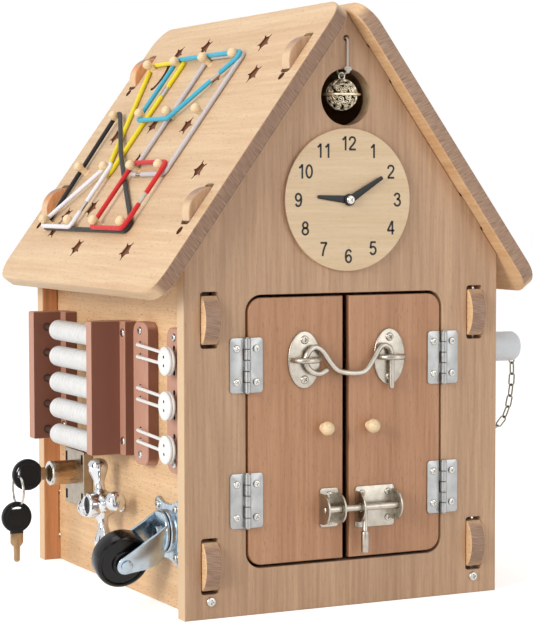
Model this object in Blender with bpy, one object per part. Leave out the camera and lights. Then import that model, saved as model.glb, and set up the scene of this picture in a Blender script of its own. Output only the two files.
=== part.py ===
"""Wooden activity house with shuttered doors, latches, a clock and toy fittings on its walls.

Sizes below are millimetres and are turned into metres when a mesh is made.
X runs across the front, the front faces -Y, Z is up, and the origin is the middle of the base.
"""
import math

import bpy
import bmesh
from mathutils import Vector
from mathutils.geometry import tessellate_polygon

MM = 0.001
GAP = 0.3                 # clearance between pieces that touch

# House box
FACE_Y = -141.0           # outside face of the front panel
BACK_Y = 141.0            # outside face of the back panel
BOARD = 12.0              # thickness of panels, walls and floor
PANEL_HALF = 125.0        # half width of the front and back panels
WALL_IN = 100.0
WALL_OUT = 112.0
WALL_TOP = 262.0
WALL_END = 128.7          # the walls and floor stop just inside the panels
SLOT_X = 106.0            # centre of a wall slot in a panel
TAB_HEIGHTS = (36.4, 205.2)
TAB_CHORD = 33.0
TAB_PROUD = 7.0

# Roof: s is the distance down the slope from the line where the two outer faces would meet
PITCH = math.radians(53.8)
RIDGE_Z = 437.4
ROOF_THICK = 11.3
ROOF_HALF = 155.0
ROOF_TOP_S = 14.3
RIDGE_BEVEL = 1.95        # the lower faces stop this much short of the upper ones at the ridge
ROOF_EAVE_S = 262.5
ROOF_CORNER = 20.0
GABLE_TABS = (60.5, 189.6)
GABLE_CHORD = 28.5
GABLE_PROUD = 7.0

# Pegs and elastic bands on the left roof
PEG_COLUMNS = (109.3, 57.5, 5.7, -46.1)
PEG_ROWS = (60.8, 110.9, 161.0, 211.2)
PEG_PROFILE = ((2.5, 0.0), (2.5, 5.3), (3.6, 6.9), (3.6, 9.4), (1.8, 11.6))
BAND_RADIUS = 1.3
BAND_WRAP = 4.3           # centre of a band to the centre of the peg that it goes round

# Door opening and doors
OPENING = (-78.6, 32.3, 78.6, 221.6)
OPENING_CORNER = 12.0
DOOR_EDGE = 76.6
DOOR_MEET = 2.6
DOOR_LOW = 34.3
DOOR_HIGH = 219.6
DOOR_THICK = 6.0
DOOR_CORNER = 10.0
KNOB_X = 18.35
KNOB_Z = 127.4

# Hinges
PIN_X = 78.6
PIN_H = 2.8               # pin centre in front of the face
HINGE_HEIGHTS = {"upper": 173.5, "lower": 80.0}
HINGE_TALL = 38.0
LEAF_WIDE = 12.6
KNUCKLE = 2.4

# Hook latch
HOOK_X = 34.0
HOOK_Z = 175.8
HOOK_H = 5.2
HOOK_WIRE = 2.0
STAPLE_RADIUS = 9.5
HOOK_PIVOT_X = -24.5
HOOK_PATH = (
    (-18.5, 168.0), (-24.0, 165.8), (-30.0, 167.5), (-34.5, 173.0), (-33.5, 180.0),
    (-28.0, 184.5), (-21.5, 181.5), (-15.0, 173.0), (-9.0, 167.5), (0.0, 165.5),
    (9.0, 165.5), (14.0, 168.0), (20.0, 176.0), (25.0, 183.0), (30.0, 183.5),
    (33.5, 178.0), (33.8, 154.8),
)

# Barrel bolt
BOLT_Z = 70.5
BOLT_H = 8.2
BOLT_RADIUS = 2.5
BOLT_ENDS = (-22.3, 40.0)
LEVER_X = 10.7
KEEPER = (-21.5, -7.2, 57.4, 84.9)
CASE = (6.8, 38.1, 55.1, 84.5)
FLANGE_PROUD = 15.0

# Clock
CLOCK_Z = 286.6
DIAL_RADIUS = 49.75
DIAL_THICK = 3.0
HOUR_LONG = 25.0
HOUR_ANGLE = math.radians(175.0)
MINUTE_LONG = 30.5
MINUTE_ANGLE = math.radians(31.0)

# Bell
BELL_Y = -134.0
BELL_Z = 360.1
BELL_RADIUS = 11.25
BELL_RIM = 13.5
BELL_HOLE_Z = 358.2
BELL_HOLE = 19.7
CORD_HOLE_Z = 399.1
BELL_PIVOT_Z = 373.4

# Left wall fittings: all distances along X are outward from the wall face
BEAD_X = -133.0
ROD_HEIGHTS = tuple(148.3 + 19.9 * k for k in (-2, -1, 0, 1, 2))
ROD_RADIUS = 2.2
BEAD_RADIUS = 7.8
BEAD_DROP = 1.0
BEADS = 14
BEAD_ROW = (-9.4, 76.0)
LACE_HOLES = ((184.0, 175.4), (153.2, 145.0), (122.7, 114.9))
BUTTON_Y = -118.0
BUTTON_HEIGHTS = (176.5, 145.8, 115.5)
BUTTON_RADIUS = 10.0
LACE_X = -123.4
LACE_RADIUS = 1.2
LOCK_Y = 74.5
LOCK_Z = 77.2
TAP_Y = -0.6
TAP_Z = 62.3
TAP_ARMS_X = -129.0
TAP_TILT = math.radians(12.0)
CASTER_Y = -87.5
CASTER_Z = 54.0
CASTER_TRAIL = 18.5
CASTER_TILT = math.radians(18.0)
AXLE_X = -147.5

# Stopper on the right wall
PLUG_Y = -112.0
PLUG_Z = 177.0
PLUG_RADIUS = 11.0

FINISHES = {
    "beech panel": ((0.62, 0.45, 0.31), 0.0, 0.5),
    "pale beech": ((0.74, 0.56, 0.37), 0.0, 0.5),
    "red beech": ((0.52, 0.31, 0.20), 0.0, 0.5),
    "birch ply": ((0.78, 0.63, 0.42), 0.0, 0.5),
    "brown wood": ((0.33, 0.16, 0.11), 0.0, 0.5),
    "white plastic": ((0.88, 0.88, 0.87), 0.0, 0.35),
    "nickel": ((0.62, 0.61, 0.58), 1.0, 0.28),
    "zinc": ((0.66, 0.70, 0.74), 1.0, 0.3),
    "chrome": ((0.75, 0.75, 0.76), 1.0, 0.12),
    "aged brass": ((0.45, 0.38, 0.26), 1.0, 0.35),
    "black plastic": ((0.02, 0.02, 0.02), 0.0, 0.4),
    "white cord": ((0.85, 0.85, 0.84), 0.0, 0.8),
    "yellow band": ((0.95, 0.83, 0.05), 0.0, 0.7),
    "cyan band": ((0.12, 0.55, 0.68), 0.0, 0.7),
    "grey band": ((0.55, 0.52, 0.54), 0.0, 0.7),
    "white band": ((0.85, 0.85, 0.88), 0.0, 0.7),
    "red band": ((0.78, 0.03, 0.03), 0.0, 0.7),
    "black band": ((0.02, 0.02, 0.02), 0.0, 0.7),
}


def clear_scene():
    for thing in list(bpy.data.objects):
        bpy.data.objects.remove(thing, do_unlink=True)


def arc(cx, cy, radius, start, stop, steps):
    """Points on an arc, both ends included, angles in degrees."""
    angles = [math.radians(start + (stop - start) * k / steps) for k in range(steps + 1)]
    return [(cx + radius * math.cos(a), cy + radius * math.sin(a)) for a in angles]


def circle(cx, cy, radius, sides):
    return arc(cx, cy, radius, 0, 360, sides)[:-1]


def rounded_box(x0, y0, x1, y1, radii, steps=4):
    """Corner radii start at the lower left and go round anticlockwise; 0 leaves a corner square."""
    corners = ((x0, y0, 1, 1, 180), (x1, y0, -1, 1, 270), (x1, y1, -1, -1, 0), (x0, y1, 1, -1, 90))
    loop = []
    for (cx, cy, sx, sy, start), r in zip(corners, radii):
        if r:
            loop += arc(cx + sx * r, cy + sy * r, r, start, start + 90, steps)
        else:
            loop.append((cx, cy))
    return loop


def bulge(a, b, proud, steps=8):
    """Points strictly between a and b on an arc that stands proud on the right of a to b."""
    a, b = Vector(a), Vector(b)
    chord = (b - a).length
    radius = (chord * chord / 4 + proud * proud) / (2 * proud)
    along = (b - a).normalized()
    out = Vector((along.y, -along.x))
    centre = (a + b) / 2 + out * (proud - radius)
    half = math.asin(chord / 2 / radius)
    turns = [-half + 2 * half * k / steps for k in range(1, steps)]
    return [tuple(centre + radius * (along * math.sin(t) + out * math.cos(t))) for t in turns]


class Solid:
    """Faces and walls between flat loops at heights along w, in a frame given by origin, u, v."""

    def __init__(self, origin, u, v, w):
        self.frame = [Vector(origin), Vector(u), Vector(v), Vector(w)]
        self.mesh = bmesh.new()

    def point(self, p, height):
        origin, u, v, w = self.frame
        return self.mesh.verts.new((origin + u * p[0] + v * p[1] + w * height) * MM)

    def face(self, outer, holes, height):
        loops = [outer] + list(holes)
        flat = [Vector((x, y, 0)) for loop in loops for x, y in loop]
        verts = [self.point(p, height) for p in flat]
        for tri in tessellate_polygon([[Vector((x, y, 0)) for x, y in loop] for loop in loops]):
            self.mesh.faces.new([verts[k] for k in tri])

    def wall(self, low, low_height, high, high_height):
        bottom = [self.point(p, low_height) for p in low]
        top = [self.point(p, high_height) for p in high]
        for k in range(len(low)):
            j = (k + 1) % len(low)
            self.mesh.faces.new((bottom[k], bottom[j], top[j], top[k]))

    def rings(self, cx, cy, profile, sides, turn=0.0):
        """A raised or sunk round shape: its first ring is a hole in a face, its last is capped."""
        loops = [
            [
                (cx + r * math.cos(a), cy + r * math.sin(a))
                for a in (turn + 2 * math.pi * k / sides for k in range(sides))
            ]
            for r, _ in profile
        ]
        for k in range(len(profile) - 1):
            self.wall(loops[k], profile[k][1], loops[k + 1], profile[k + 1][1])
        self.face(loops[-1], [], profile[-1][1])
        return loops[0]


def make(name, mesh, finish, pivot=(0, 0, 0), sharp=35):
    """Weld a mesh, face it outward and put it in the scene with its origin at the pivot."""
    bmesh.ops.remove_doubles(mesh, verts=mesh.verts, dist=0.004 * MM)
    bmesh.ops.recalc_face_normals(mesh, faces=mesh.faces)
    shift = Vector(pivot) * MM
    bmesh.ops.translate(mesh, verts=mesh.verts, vec=-shift)
    data = bpy.data.meshes.new(name)
    mesh.to_mesh(data)
    mesh.free()
    piece = bpy.data.objects.new(name, data)
    piece.location = shift
    bpy.context.collection.objects.link(piece)
    dress(piece, finish, sharp)
    return piece


def dress(piece, finish, sharp=35):
    colour, metallic, roughness = FINISHES[finish]
    material = bpy.data.materials.new(piece.name + "_" + finish.replace(" ", "_"))
    material.use_nodes = True
    shader = material.node_tree.nodes["Principled BSDF"]
    shader.inputs["Base Color"].default_value = (*colour, 1.0)
    shader.inputs["Metallic"].default_value = metallic
    shader.inputs["Roughness"].default_value = roughness
    material.diffuse_color = (*colour, 1.0)
    piece.data.materials.clear()
    piece.data.materials.append(material)
    piece.data.shade_smooth()
    piece.data.set_sharp_from_angle(angle=math.radians(sharp))


def plate(outer, holes, origin, u, v, w, near, far):
    """A flat board between two heights, its holes right through."""
    solid = Solid(origin, u, v, w)
    for height in (near, far):
        solid.face(outer, holes, height)
    for loop in [outer] + list(holes):
        solid.wall(loop, near, loop, far)
    return solid.mesh


def turned(profile, origin, axis, sides, bored=False, start=0.0):
    """Spin (radius, distance along axis) round an axis; a bored profile closes on itself."""
    along = Vector(axis).normalized()
    side = Vector((0, 0, 1)) if abs(along.z) < 0.9 else Vector((1, 0, 0))
    u = along.cross(side).normalized()
    v = along.cross(u)
    mesh = bmesh.new()
    rings = []
    for r, d in profile:
        centre = Vector(origin) + along * d
        if r == 0:
            rings.append([mesh.verts.new(centre * MM)])
            continue
        angles = [start + 2 * math.pi * k / sides for k in range(sides)]
        spots = [centre + (u * math.cos(a) + v * math.sin(a)) * r for a in angles]
        rings.append([mesh.verts.new(p * MM) for p in spots])
    pairs = list(zip(rings, rings[1:]))
    if bored:
        pairs.append((rings[-1], rings[0]))
    for a, b in pairs:
        for k in range(sides):
            j = (k + 1) % sides
            corners = [a[k % len(a)], a[j % len(a)], b[j % len(b)], b[k % len(b)]]
            mesh.faces.new(list(dict.fromkeys(corners)))
    if not bored:
        for ring in (rings[0], rings[-1]):
            if len(ring) > 1:
                mesh.faces.new(ring)
    return mesh


def tube(points, radius, sides, closed=False):
    """A round tube along a route, its rings carried along without twist."""
    points = [Vector(p) for p in points]
    count = len(points)
    mesh = bmesh.new()
    rings = []
    normal = None
    for k, p in enumerate(points):
        before = points[k - 1] if closed or k else p
        after = points[(k + 1) % count] if closed or k < count - 1 else p
        along = (after - before).normalized()
        if normal is None:
            side = Vector((0, 0, 1)) if abs(along.z) < 0.9 else Vector((1, 0, 0))
            normal = along.cross(side)
        normal = (normal - along * normal.dot(along)).normalized()
        across = along.cross(normal)
        turn = [2 * math.pi * j / sides for j in range(sides)]
        ring = [p + (normal * math.cos(a) + across * math.sin(a)) * radius for a in turn]
        rings.append([mesh.verts.new(q * MM) for q in ring])
    pairs = list(zip(rings, rings[1:]))
    if closed:
        first, last = rings[0], rings[-1]
        gaps = [sum((last[j].co - first[(j + slip) % sides].co).length for j in range(sides))
                for slip in range(sides)]
        slip = gaps.index(min(gaps))
        pairs.append((last, [first[(j + slip) % sides] for j in range(sides)]))
    for a, b in pairs:
        for j in range(sides):
            i = (j + 1) % sides
            mesh.faces.new((a[j], a[i], b[i], b[j]))
    if not closed:
        mesh.faces.new(rings[0])
        mesh.faces.new(rings[-1])
    return mesh


def smooth_route(points, steps, closed=False):
    """Catmull-Rom points through a hand-chosen route."""
    points = [Vector(p) for p in points]
    count = len(points)
    route = []
    for k in range(count if closed else count - 1):
        picks = [k - 1, k, k + 1, k + 2]
        a, b, c, d = [points[j % count] if closed else points[min(max(j, 0), count - 1)] for j in picks]
        for j in range(steps):
            t = j / steps
            route.append(
                0.5 * (2 * b + (c - a) * t + (2 * a - 5 * b + 4 * c - d) * t * t
                       + (3 * b - a - 3 * c + d) * t * t * t)
            )
    if not closed:
        route.append(points[-1])
    return route


def filleted(points, radius, steps=3):
    """A route of straight runs whose corners are rounded."""
    points = [Vector(p) for p in points]
    route = [points[0]]
    for a, b, c in zip(points, points[1:], points[2:]):
        into, away = (a - b), (c - b)
        cut = min(radius, into.length / 2.1, away.length / 2.1)
        start, stop = b + into.normalized() * cut, b + away.normalized() * cut
        for k in range(steps + 1):
            t = k / steps
            route.append(start * (1 - t) ** 2 + b * 2 * t * (1 - t) + stop * t * t)
    route.append(points[-1])
    return route


def fuse(name, meshes, finish, pivot=(0, 0, 0), cut=(), sharp=35):
    """Join overlapping meshes into one body with exact Booleans, then take cutters away."""
    base = make(name, meshes[0], finish)
    tools = []
    for mode, group in (("UNION", meshes[1:]), ("DIFFERENCE", cut)):
        for mesh in group:
            tool = make(name + "_tool", mesh, finish)
            change = base.modifiers.new("join", "BOOLEAN")
            change.operation = mode
            change.solver = "EXACT"
            change.object = tool
            tools.append(tool)
    bpy.context.view_layer.update()
    result = bpy.data.meshes.new_from_object(base.evaluated_get(bpy.context.evaluated_depsgraph_get()))
    joined = bmesh.new()
    joined.from_mesh(result)
    for thing in tools + [base]:
        bpy.data.objects.remove(thing, do_unlink=True)
    bmesh.ops.triangulate(joined, faces=joined.faces)
    return make(name, joined, finish, pivot, sharp)


def front_board(outer, holes, face_y, thick, out=-1):
    """A board in the X-Z plane whose outside face is at face_y and whose depth goes inward."""
    return plate(outer, holes, (0, face_y, 0), (1, 0, 0), (0, 0, 1), (0, out, 0), -thick, 0)


def slope_point(s, lift):
    """X and Z on the left roof, at a distance down the slope and a lift over its outer face."""
    x = -s * math.cos(PITCH) - lift * math.sin(PITCH)
    z = RIDGE_Z - s * math.sin(PITCH) + lift * math.cos(PITCH)
    return x, z


def gable_outline():
    """Panel outline with a half-moon tab through each roof slot."""
    under = -ROOF_THICK - GAP
    eave_z = RIDGE_Z + under / math.cos(PITCH) - PANEL_HALF * math.tan(PITCH)
    left = []
    for s in sorted(GABLE_TABS):
        low, high = s - GABLE_CHORD / 2, s + GABLE_CHORD / 2
        root_low, root_high = slope_point(low, under), slope_point(high, under)
        top_low, top_high = slope_point(low, 0), slope_point(high, 0)
        left += [root_low, top_low] + bulge(top_low, top_high, GABLE_PROUD) + [top_high, root_high]
    left.append((-PANEL_HALF, eave_z))
    apex = (0.0, RIDGE_Z + under / math.cos(PITCH))
    right = [(-x, z) for x, z in reversed(left)]
    return [(-PANEL_HALF, 0.0), (PANEL_HALF, 0.0)] + right + [apex] + left


def wall_slots():
    wide, tall = BOARD / 2 + GAP, TAB_CHORD / 2 + GAP
    slots = []
    for x in (-SLOT_X, SLOT_X):
        for z in TAB_HEIGHTS:
            slots.append(rounded_box(x - wide, z - tall, x + wide, z + tall, (0, 0, 0, 0)))
    return slots


def panels():
    outline = gable_outline()
    holes = wall_slots() + [
        rounded_box(*OPENING, [OPENING_CORNER] * 4),
        circle(0, BELL_HOLE_Z, BELL_HOLE, 28),
        circle(0, CORD_HOLE_Z, 2.0, 8),
        circle(0, CLOCK_Z, 2.2, 8),
    ]
    make("front_panel", front_board(outline, holes, FACE_Y, BOARD), "beech panel")
    make("back_panel", front_board(outline, wall_slots(), BACK_Y, -BOARD), "beech panel")


def wall_outline():
    loop = [(-WALL_END, 0.0), (WALL_END, 0.0)]
    for z in TAB_HEIGHTS:
        low, high = z - TAB_CHORD / 2, z + TAB_CHORD / 2
        rim = bulge((BACK_Y, low), (BACK_Y, high), TAB_PROUD)
        loop += [(WALL_END, low), (BACK_Y, low)] + rim + [(BACK_Y, high), (WALL_END, high)]
    loop += [(WALL_END, WALL_TOP), (-WALL_END, WALL_TOP)]
    for z in reversed(TAB_HEIGHTS):
        low, high = z - TAB_CHORD / 2, z + TAB_CHORD / 2
        rim = bulge((FACE_Y, high), (FACE_Y, low), TAB_PROUD)
        loop += [(-WALL_END, high), (FACE_Y, high)] + rim + [(FACE_Y, low), (-WALL_END, low)]
    return loop


def walls():
    outline = wall_outline()
    frame = ((0, 0, 0), (0, 1, 0), (0, 0, 1), (1, 0, 0))
    bore = circle(PLUG_Y, PLUG_Z, PLUG_RADIUS + 0.4, 24)
    make("left_wall", plate(outline, [], *frame, -WALL_OUT, -WALL_IN), "pale beech")
    make("right_wall", plate(outline, [bore], *frame, WALL_IN, WALL_OUT), "pale beech")
    inside = WALL_IN - GAP
    floor = rounded_box(-inside, -WALL_END, inside, WALL_END, (0, 0, 0, 0))
    up = ((0, 0, 0), (1, 0, 0), (0, 1, 0), (0, 0, 1))
    make("floor_board", plate(floor, [], *up, 0, BOARD), "beech panel")


def roof_frame(side):
    """Origin on the ridge line, u along Y, v down the slope, w out of the roof; side -1 is left."""
    down = (side * math.cos(PITCH), 0, -math.sin(PITCH))
    out = (side * math.sin(PITCH), 0, math.cos(PITCH))
    return (0, 0, RIDGE_Z), (0, 1, 0), down, out


def roof_panel(name, side, pegs):
    solid = Solid(*roof_frame(side))
    corners = [ROOF_CORNER] * 4
    outer = rounded_box(-ROOF_HALF, ROOF_TOP_S, ROOF_HALF, ROOF_EAVE_S, corners, 5)
    lower = rounded_box(-ROOF_HALF, ROOF_TOP_S + RIDGE_BEVEL, ROOF_HALF, ROOF_EAVE_S, corners, 5)
    slots = []
    wide, long = BOARD / 2 + GAP, GABLE_CHORD / 2 + GAP
    for y in (-(BACK_Y - BOARD / 2), BACK_Y - BOARD / 2):
        for s in GABLE_TABS:
            slots.append(rounded_box(y - wide, s - long, y + wide, s + long, (0, 0, 0, 0)))
    feet = []
    if pegs:
        feet = [solid.rings(y, s, PEG_PROFILE, 8, math.pi / 8) for y in PEG_COLUMNS for s in PEG_ROWS]
    solid.face(outer, slots + feet, 0)
    solid.face(lower, slots, -ROOF_THICK)
    solid.wall(lower, -ROOF_THICK, outer, 0)
    for loop in slots:
        solid.wall(loop, -ROOF_THICK, loop, 0)
    make(name, solid.mesh, "pale beech")


def doors():
    """Two shutters with the hinge side's corners rounded, and their turned knobs."""
    z0, z1 = DOOR_LOW, DOOR_HIGH
    r = DOOR_CORNER
    left = rounded_box(-DOOR_EDGE, z0, -DOOR_MEET, z1, (r, 0, 0, r))
    right = rounded_box(DOOR_MEET, z0, DOOR_EDGE, z1, (0, r, r, 0))
    knob = ((3.2, GAP), (2.4, 1.6), (2.6, 2.4), (4.3, 3.9), (5.0, 6.4), (4.3, 9.0), (2.3, 10.9), (0, 11.5))
    for side, name, outline in ((-1, "left", left), (1, "right", right)):
        pin = (side * PIN_X, FACE_Y - PIN_H, 0)
        make(name + "_door", front_board(outline, [], FACE_Y, DOOR_THICK), "red beech", pin)
        foot = (side * KNOB_X, FACE_Y, KNOB_Z)
        make(name + "_door_knob", turned(knob, foot, (0, -1, 0), 14), "birch ply", pin)


def hinge_leaf(name, side, middle, on_door):
    """A leaf with its knuckles; the frame leaf has three and the pin, the door leaf two, bored."""
    reach = -side if on_door else side
    step = HINGE_TALL / 5
    low = middle - HINGE_TALL / 2
    mine = (1, 3) if on_door else (0, 2, 4)
    inner = []
    for k in range(5):
        x = 0.6 if k in mine else KNUCKLE + 0.5
        trim = GAP / 2 if k in mine else -GAP / 2
        inner.append((x, low + k * step + (trim if k else 0)))
        inner.append((x, low + (k + 1) * step - (trim if k < 4 else 0)))
    corner = 2.5
    outer = arc(LEAF_WIDE - corner, low + HINGE_TALL - corner, corner, 90, 0, 3)
    outer += arc(LEAF_WIDE - corner, low + corner, corner, 0, -90, 3)
    thick = 1.2
    on_face = ((side * PIN_X, FACE_Y, 0), (reach, 0, 0), (0, 0, 1), (0, -1, 0))
    flat = plate(inner + outer, [], *on_face, GAP, thick)
    pin_at = (side * PIN_X, FACE_Y - PIN_H, low)
    parts = [flat]
    bore = 1.45
    for k in mine:
        a, b = k * step + GAP / 2, (k + 1) * step - GAP / 2
        if on_door:
            ring = ((bore, a), (KNUCKLE, a), (KNUCKLE, b), (bore, b))
            parts.append(turned(ring, pin_at, (0, 0, 1), 10, True))
        else:
            parts.append(turned(((KNUCKLE, a), (KNUCKLE, b)), pin_at, (0, 0, 1), 10))
    if not on_door:
        parts.append(turned(((1.1, 1.0), (1.1, HINGE_TALL - 1.0)), pin_at, (0, 0, 1), 8))
    fuse(name, parts, "nickel", pin_at)


def hinges():
    for side, word in ((-1, "left"), (1, "right")):
        for height, z in HINGE_HEIGHTS.items():
            hinge_leaf(f"{word}_{height}_hinge_frame_leaf", side, z, False)
            hinge_leaf(f"{word}_{height}_hinge_door_leaf", side, z, True)


def hook_latch():
    """An oval plate with a U-shaped staple on each door, and the hook that joins them."""
    for side, word in ((-1, "left"), (1, "right")):
        x = side * HOOK_X
        oval = [(x + 12.5 * math.cos(a), HOOK_Z + 20 * math.sin(a)) for a in
                (2 * math.pi * k / 20 for k in range(20))]
        base = plate(oval, [], (0, FACE_Y, 0), (1, 0, 0), (0, 0, 1), (0, -1, 0), GAP, 1.9)
        crown = arc(x, 3.0, STAPLE_RADIUS, 180, 0, 8)
        route = [(x - STAPLE_RADIUS, FACE_Y - 0.8, HOOK_Z)]
        route += [(px, FACE_Y - h, HOOK_Z) for px, h in crown]
        route += [(x + STAPLE_RADIUS, FACE_Y - 0.8, HOOK_Z)]
        pin = (side * PIN_X, FACE_Y - PIN_H, 0)
        fuse(word + "_hook_plate", [base, tube(route, 2.0, 8)], "nickel", pin)
    path = smooth_route([(x, FACE_Y - HOOK_H, z) for x, z in HOOK_PATH], 2)
    make("hook", tube(path, HOOK_WIRE, 8), "nickel", (HOOK_PIVOT_X, FACE_Y - HOOK_H, HOOK_Z))


def bolt_bracket(name, box, finish, pin):
    """A flat plate with a D-shaped flange, bored for the rod, at each end."""
    x0, x1, z0, z1 = box
    base = plate(rounded_box(x0, z0, x1, z1, [2.0] * 4, 2), [], (0, FACE_Y, 0),
                 (1, 0, 0), (0, 0, 1), (0, -1, 0), GAP, 1.5)
    half, thick = 11.0, 1.4
    crown = [(half * math.cos(a), 4.0 + (FLANGE_PROUD - 4.0) * math.sin(a)) for a in
             (math.pi * k / 12 for k in range(13))]
    outline = [(half, 1.0)] + crown + [(-half, 1.0)]
    bore = circle(0, BOLT_H, BOLT_RADIUS + 0.55, 12)
    flanges = []
    for x in (x0, x1 - thick):
        frame = ((x, FACE_Y, BOLT_Z), (0, 0, 1), (0, -1, 0), (1, 0, 0))
        flanges.append(plate(outline, [bore], *frame, 0.05, thick - 0.05))
    fuse(name, [base] + flanges, finish, pin)


def barrel_bolt():
    bolt_bracket("bolt_keeper", KEEPER, "nickel", (-PIN_X, FACE_Y - PIN_H, 0))
    bolt_bracket("bolt_case", CASE, "nickel", (PIN_X, FACE_Y - PIN_H, 0))
    start, stop = BOLT_ENDS
    r = BOLT_RADIUS
    rod = turned(((r - 0.5, 0), (r, 0.5), (r, stop - start - 0.5), (r - 0.5, stop - start)),
                 (start, FACE_Y - BOLT_H, BOLT_Z), (1, 0, 0), 12)
    lever = turned(((1.75, 1.0), (1.75, 16.5), (2.85, 17.3), (2.85, 31.6), (2.2, 32.2)),
                   (LEVER_X, FACE_Y - BOLT_H, BOLT_Z), (0, 0, -1), 10)
    fuse("bolt", [rod, lever], "nickel", (LEVER_X, FACE_Y - BOLT_H, BOLT_Z))


def clock():
    solid = Solid((0, FACE_Y, CLOCK_Z), (1, 0, 0), (0, 0, 1), (0, -1, 0))
    outer = circle(0, 0, DIAL_RADIUS, 48)
    back, front = GAP, GAP + DIAL_THICK
    stem = solid.rings(0, 0, ((1.5, front), (1.5, 6.0), (3.2, 6.2), (3.2, 7.0), (2.2, 7.8)), 12)
    solid.face(outer, [stem], front)
    solid.face(outer, [], back)
    solid.wall(outer, back, outer, front)
    make("clock_dial", solid.mesh, "birch ply")
    hand("hour_hand", HOUR_LONG, 1.2, HOUR_ANGLE, 3.7, 4.5)
    hand("minute_hand", MINUTE_LONG, 1.4, MINUTE_ANGLE, 4.9, 5.7)


def hand(name, long, tip, angle, near, far):
    """A flat clock hand that narrows from its eye to a blunt tip."""
    hub = arc(0, 0, 4.2, 40, 320, 10)
    outline = hub + [(long - 1.0, -tip), (long, -tip * 0.5), (long, tip * 0.5), (long - 1.0, tip)]
    u = (math.cos(angle), 0, math.sin(angle))
    v = (-math.sin(angle), 0, math.cos(angle))
    eye = circle(0, 0, 1.9, 12)
    mesh = plate(outline, [eye], (0, FACE_Y, CLOCK_Z), u, v, (0, -1, 0), near, far)
    make(name, mesh, "black plastic", (0, FACE_Y - near, CLOCK_Z))


def bell():
    """A round bell with a rim at its middle and a ring on top, hung on a cord round the panel."""
    turns = [math.radians(a) for a in (-90, -66, -42, -20, -6, 6, 20, 42, 66, 90)]
    profile = [(max(BELL_RADIUS * math.cos(a), 0) if abs(a) < 1.57 else 0, BELL_RADIUS * math.sin(a))
               for a in turns]
    profile[4:6] = [(BELL_RADIUS - 0.1, -1.4), (BELL_RIM, -0.7), (BELL_RIM, 0.7), (BELL_RADIUS - 0.1, 1.4)]
    pivot = (0, BELL_Y, BELL_PIVOT_Z)
    ball = turned(profile, (0, BELL_Y, BELL_Z), (0, 0, 1), 18)
    ring = tube([(x, BELL_Y, z) for x, z in circle(0, BELL_Z + BELL_RADIUS + 1.7, 2.3, 12)], 0.6, 6, True)
    fuse("bell", [ball, ring], "aged brass", pivot)
    front, back = FACE_Y - 1.6, FACE_Y + BOARD + 1.6
    strand = [
        (0, BELL_Y, BELL_PIVOT_Z), (0, -140.0, 374.8), (0, front, 377.5), (0, front, 396.0),
        (0, front + 0.7, 398.3), (0, -140.4, CORD_HOLE_Z), (0, -129.6, CORD_HOLE_Z),
        (0, back - 0.7, 398.3), (0, back, 396.0), (0, back, 377.5), (0, -130.0, 374.8),
    ]
    make("bell_cord", tube(smooth_route(strand, 3, True), 0.7, 6, True), "white cord")


def abacus():
    """Two brackets on the left wall, five rods between them and five rows of beads."""
    face = -WALL_OUT - GAP
    up = ((0, 0, 0), (1, 0, 0), (0, 1, 0), (0, 0, 1))
    out = -143.7
    foot = -121.5
    rear = [(face, 88.5), (face, 110.3), (out, 110.3), (out, 99.3), (foot, 99.3), (foot, 88.5)]
    front = [(face, -30.4), (face, -10.0), (out, -10.0), (out, -20.0), (foot, -20.0), (foot, -30.4)]
    rods = [turned(((ROD_RADIUS, 0), (ROD_RADIUS, 114.5)), (BEAD_X, 101.0, z), (0, -1, 0), 10)
            for z in ROD_HEIGHTS]
    fuse("abacus_rear_plate", [plate(rear, [], *up, 101, 200)] + rods, "brown wood")
    sockets = [turned(((ROD_RADIUS + 0.4, 0), (ROD_RADIUS + 0.4, 8.0)), (BEAD_X, -9.0, z), (0, -1, 0), 10)
               for z in ROD_HEIGHTS]
    fuse("abacus_front_plate", [plate(front, [], *up, 101, 199)], "brown wood", cut=sockets)
    pitch = (BEAD_ROW[1] - BEAD_ROW[0]) / BEADS
    profile = []
    for k in range(BEADS):
        start = k * pitch
        profile += [(BEAD_RADIUS - 1.6, start), (BEAD_RADIUS, start + 0.5 * pitch)]
    end = BEADS * pitch
    profile += [(BEAD_RADIUS - 1.6, end), (3.6, end), (3.6, 0.0)]
    for k, z in enumerate(ROD_HEIGHTS):
        origin = (BEAD_X, BEAD_ROW[0], z - BEAD_DROP)
        mesh = turned(profile, origin, (0, 1, 0), 10, True, math.pi / 10)
        make(f"bead_row_{k + 1}", mesh, "white plastic", origin, 50)


def wall_solid(y, z):
    """A frame on the left wall: u toward the front, v up, w outward from the wall."""
    return Solid((-WALL_OUT, y, z), (0, -1, 0), (0, 0, 1), (-1, 0, 0))


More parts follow.
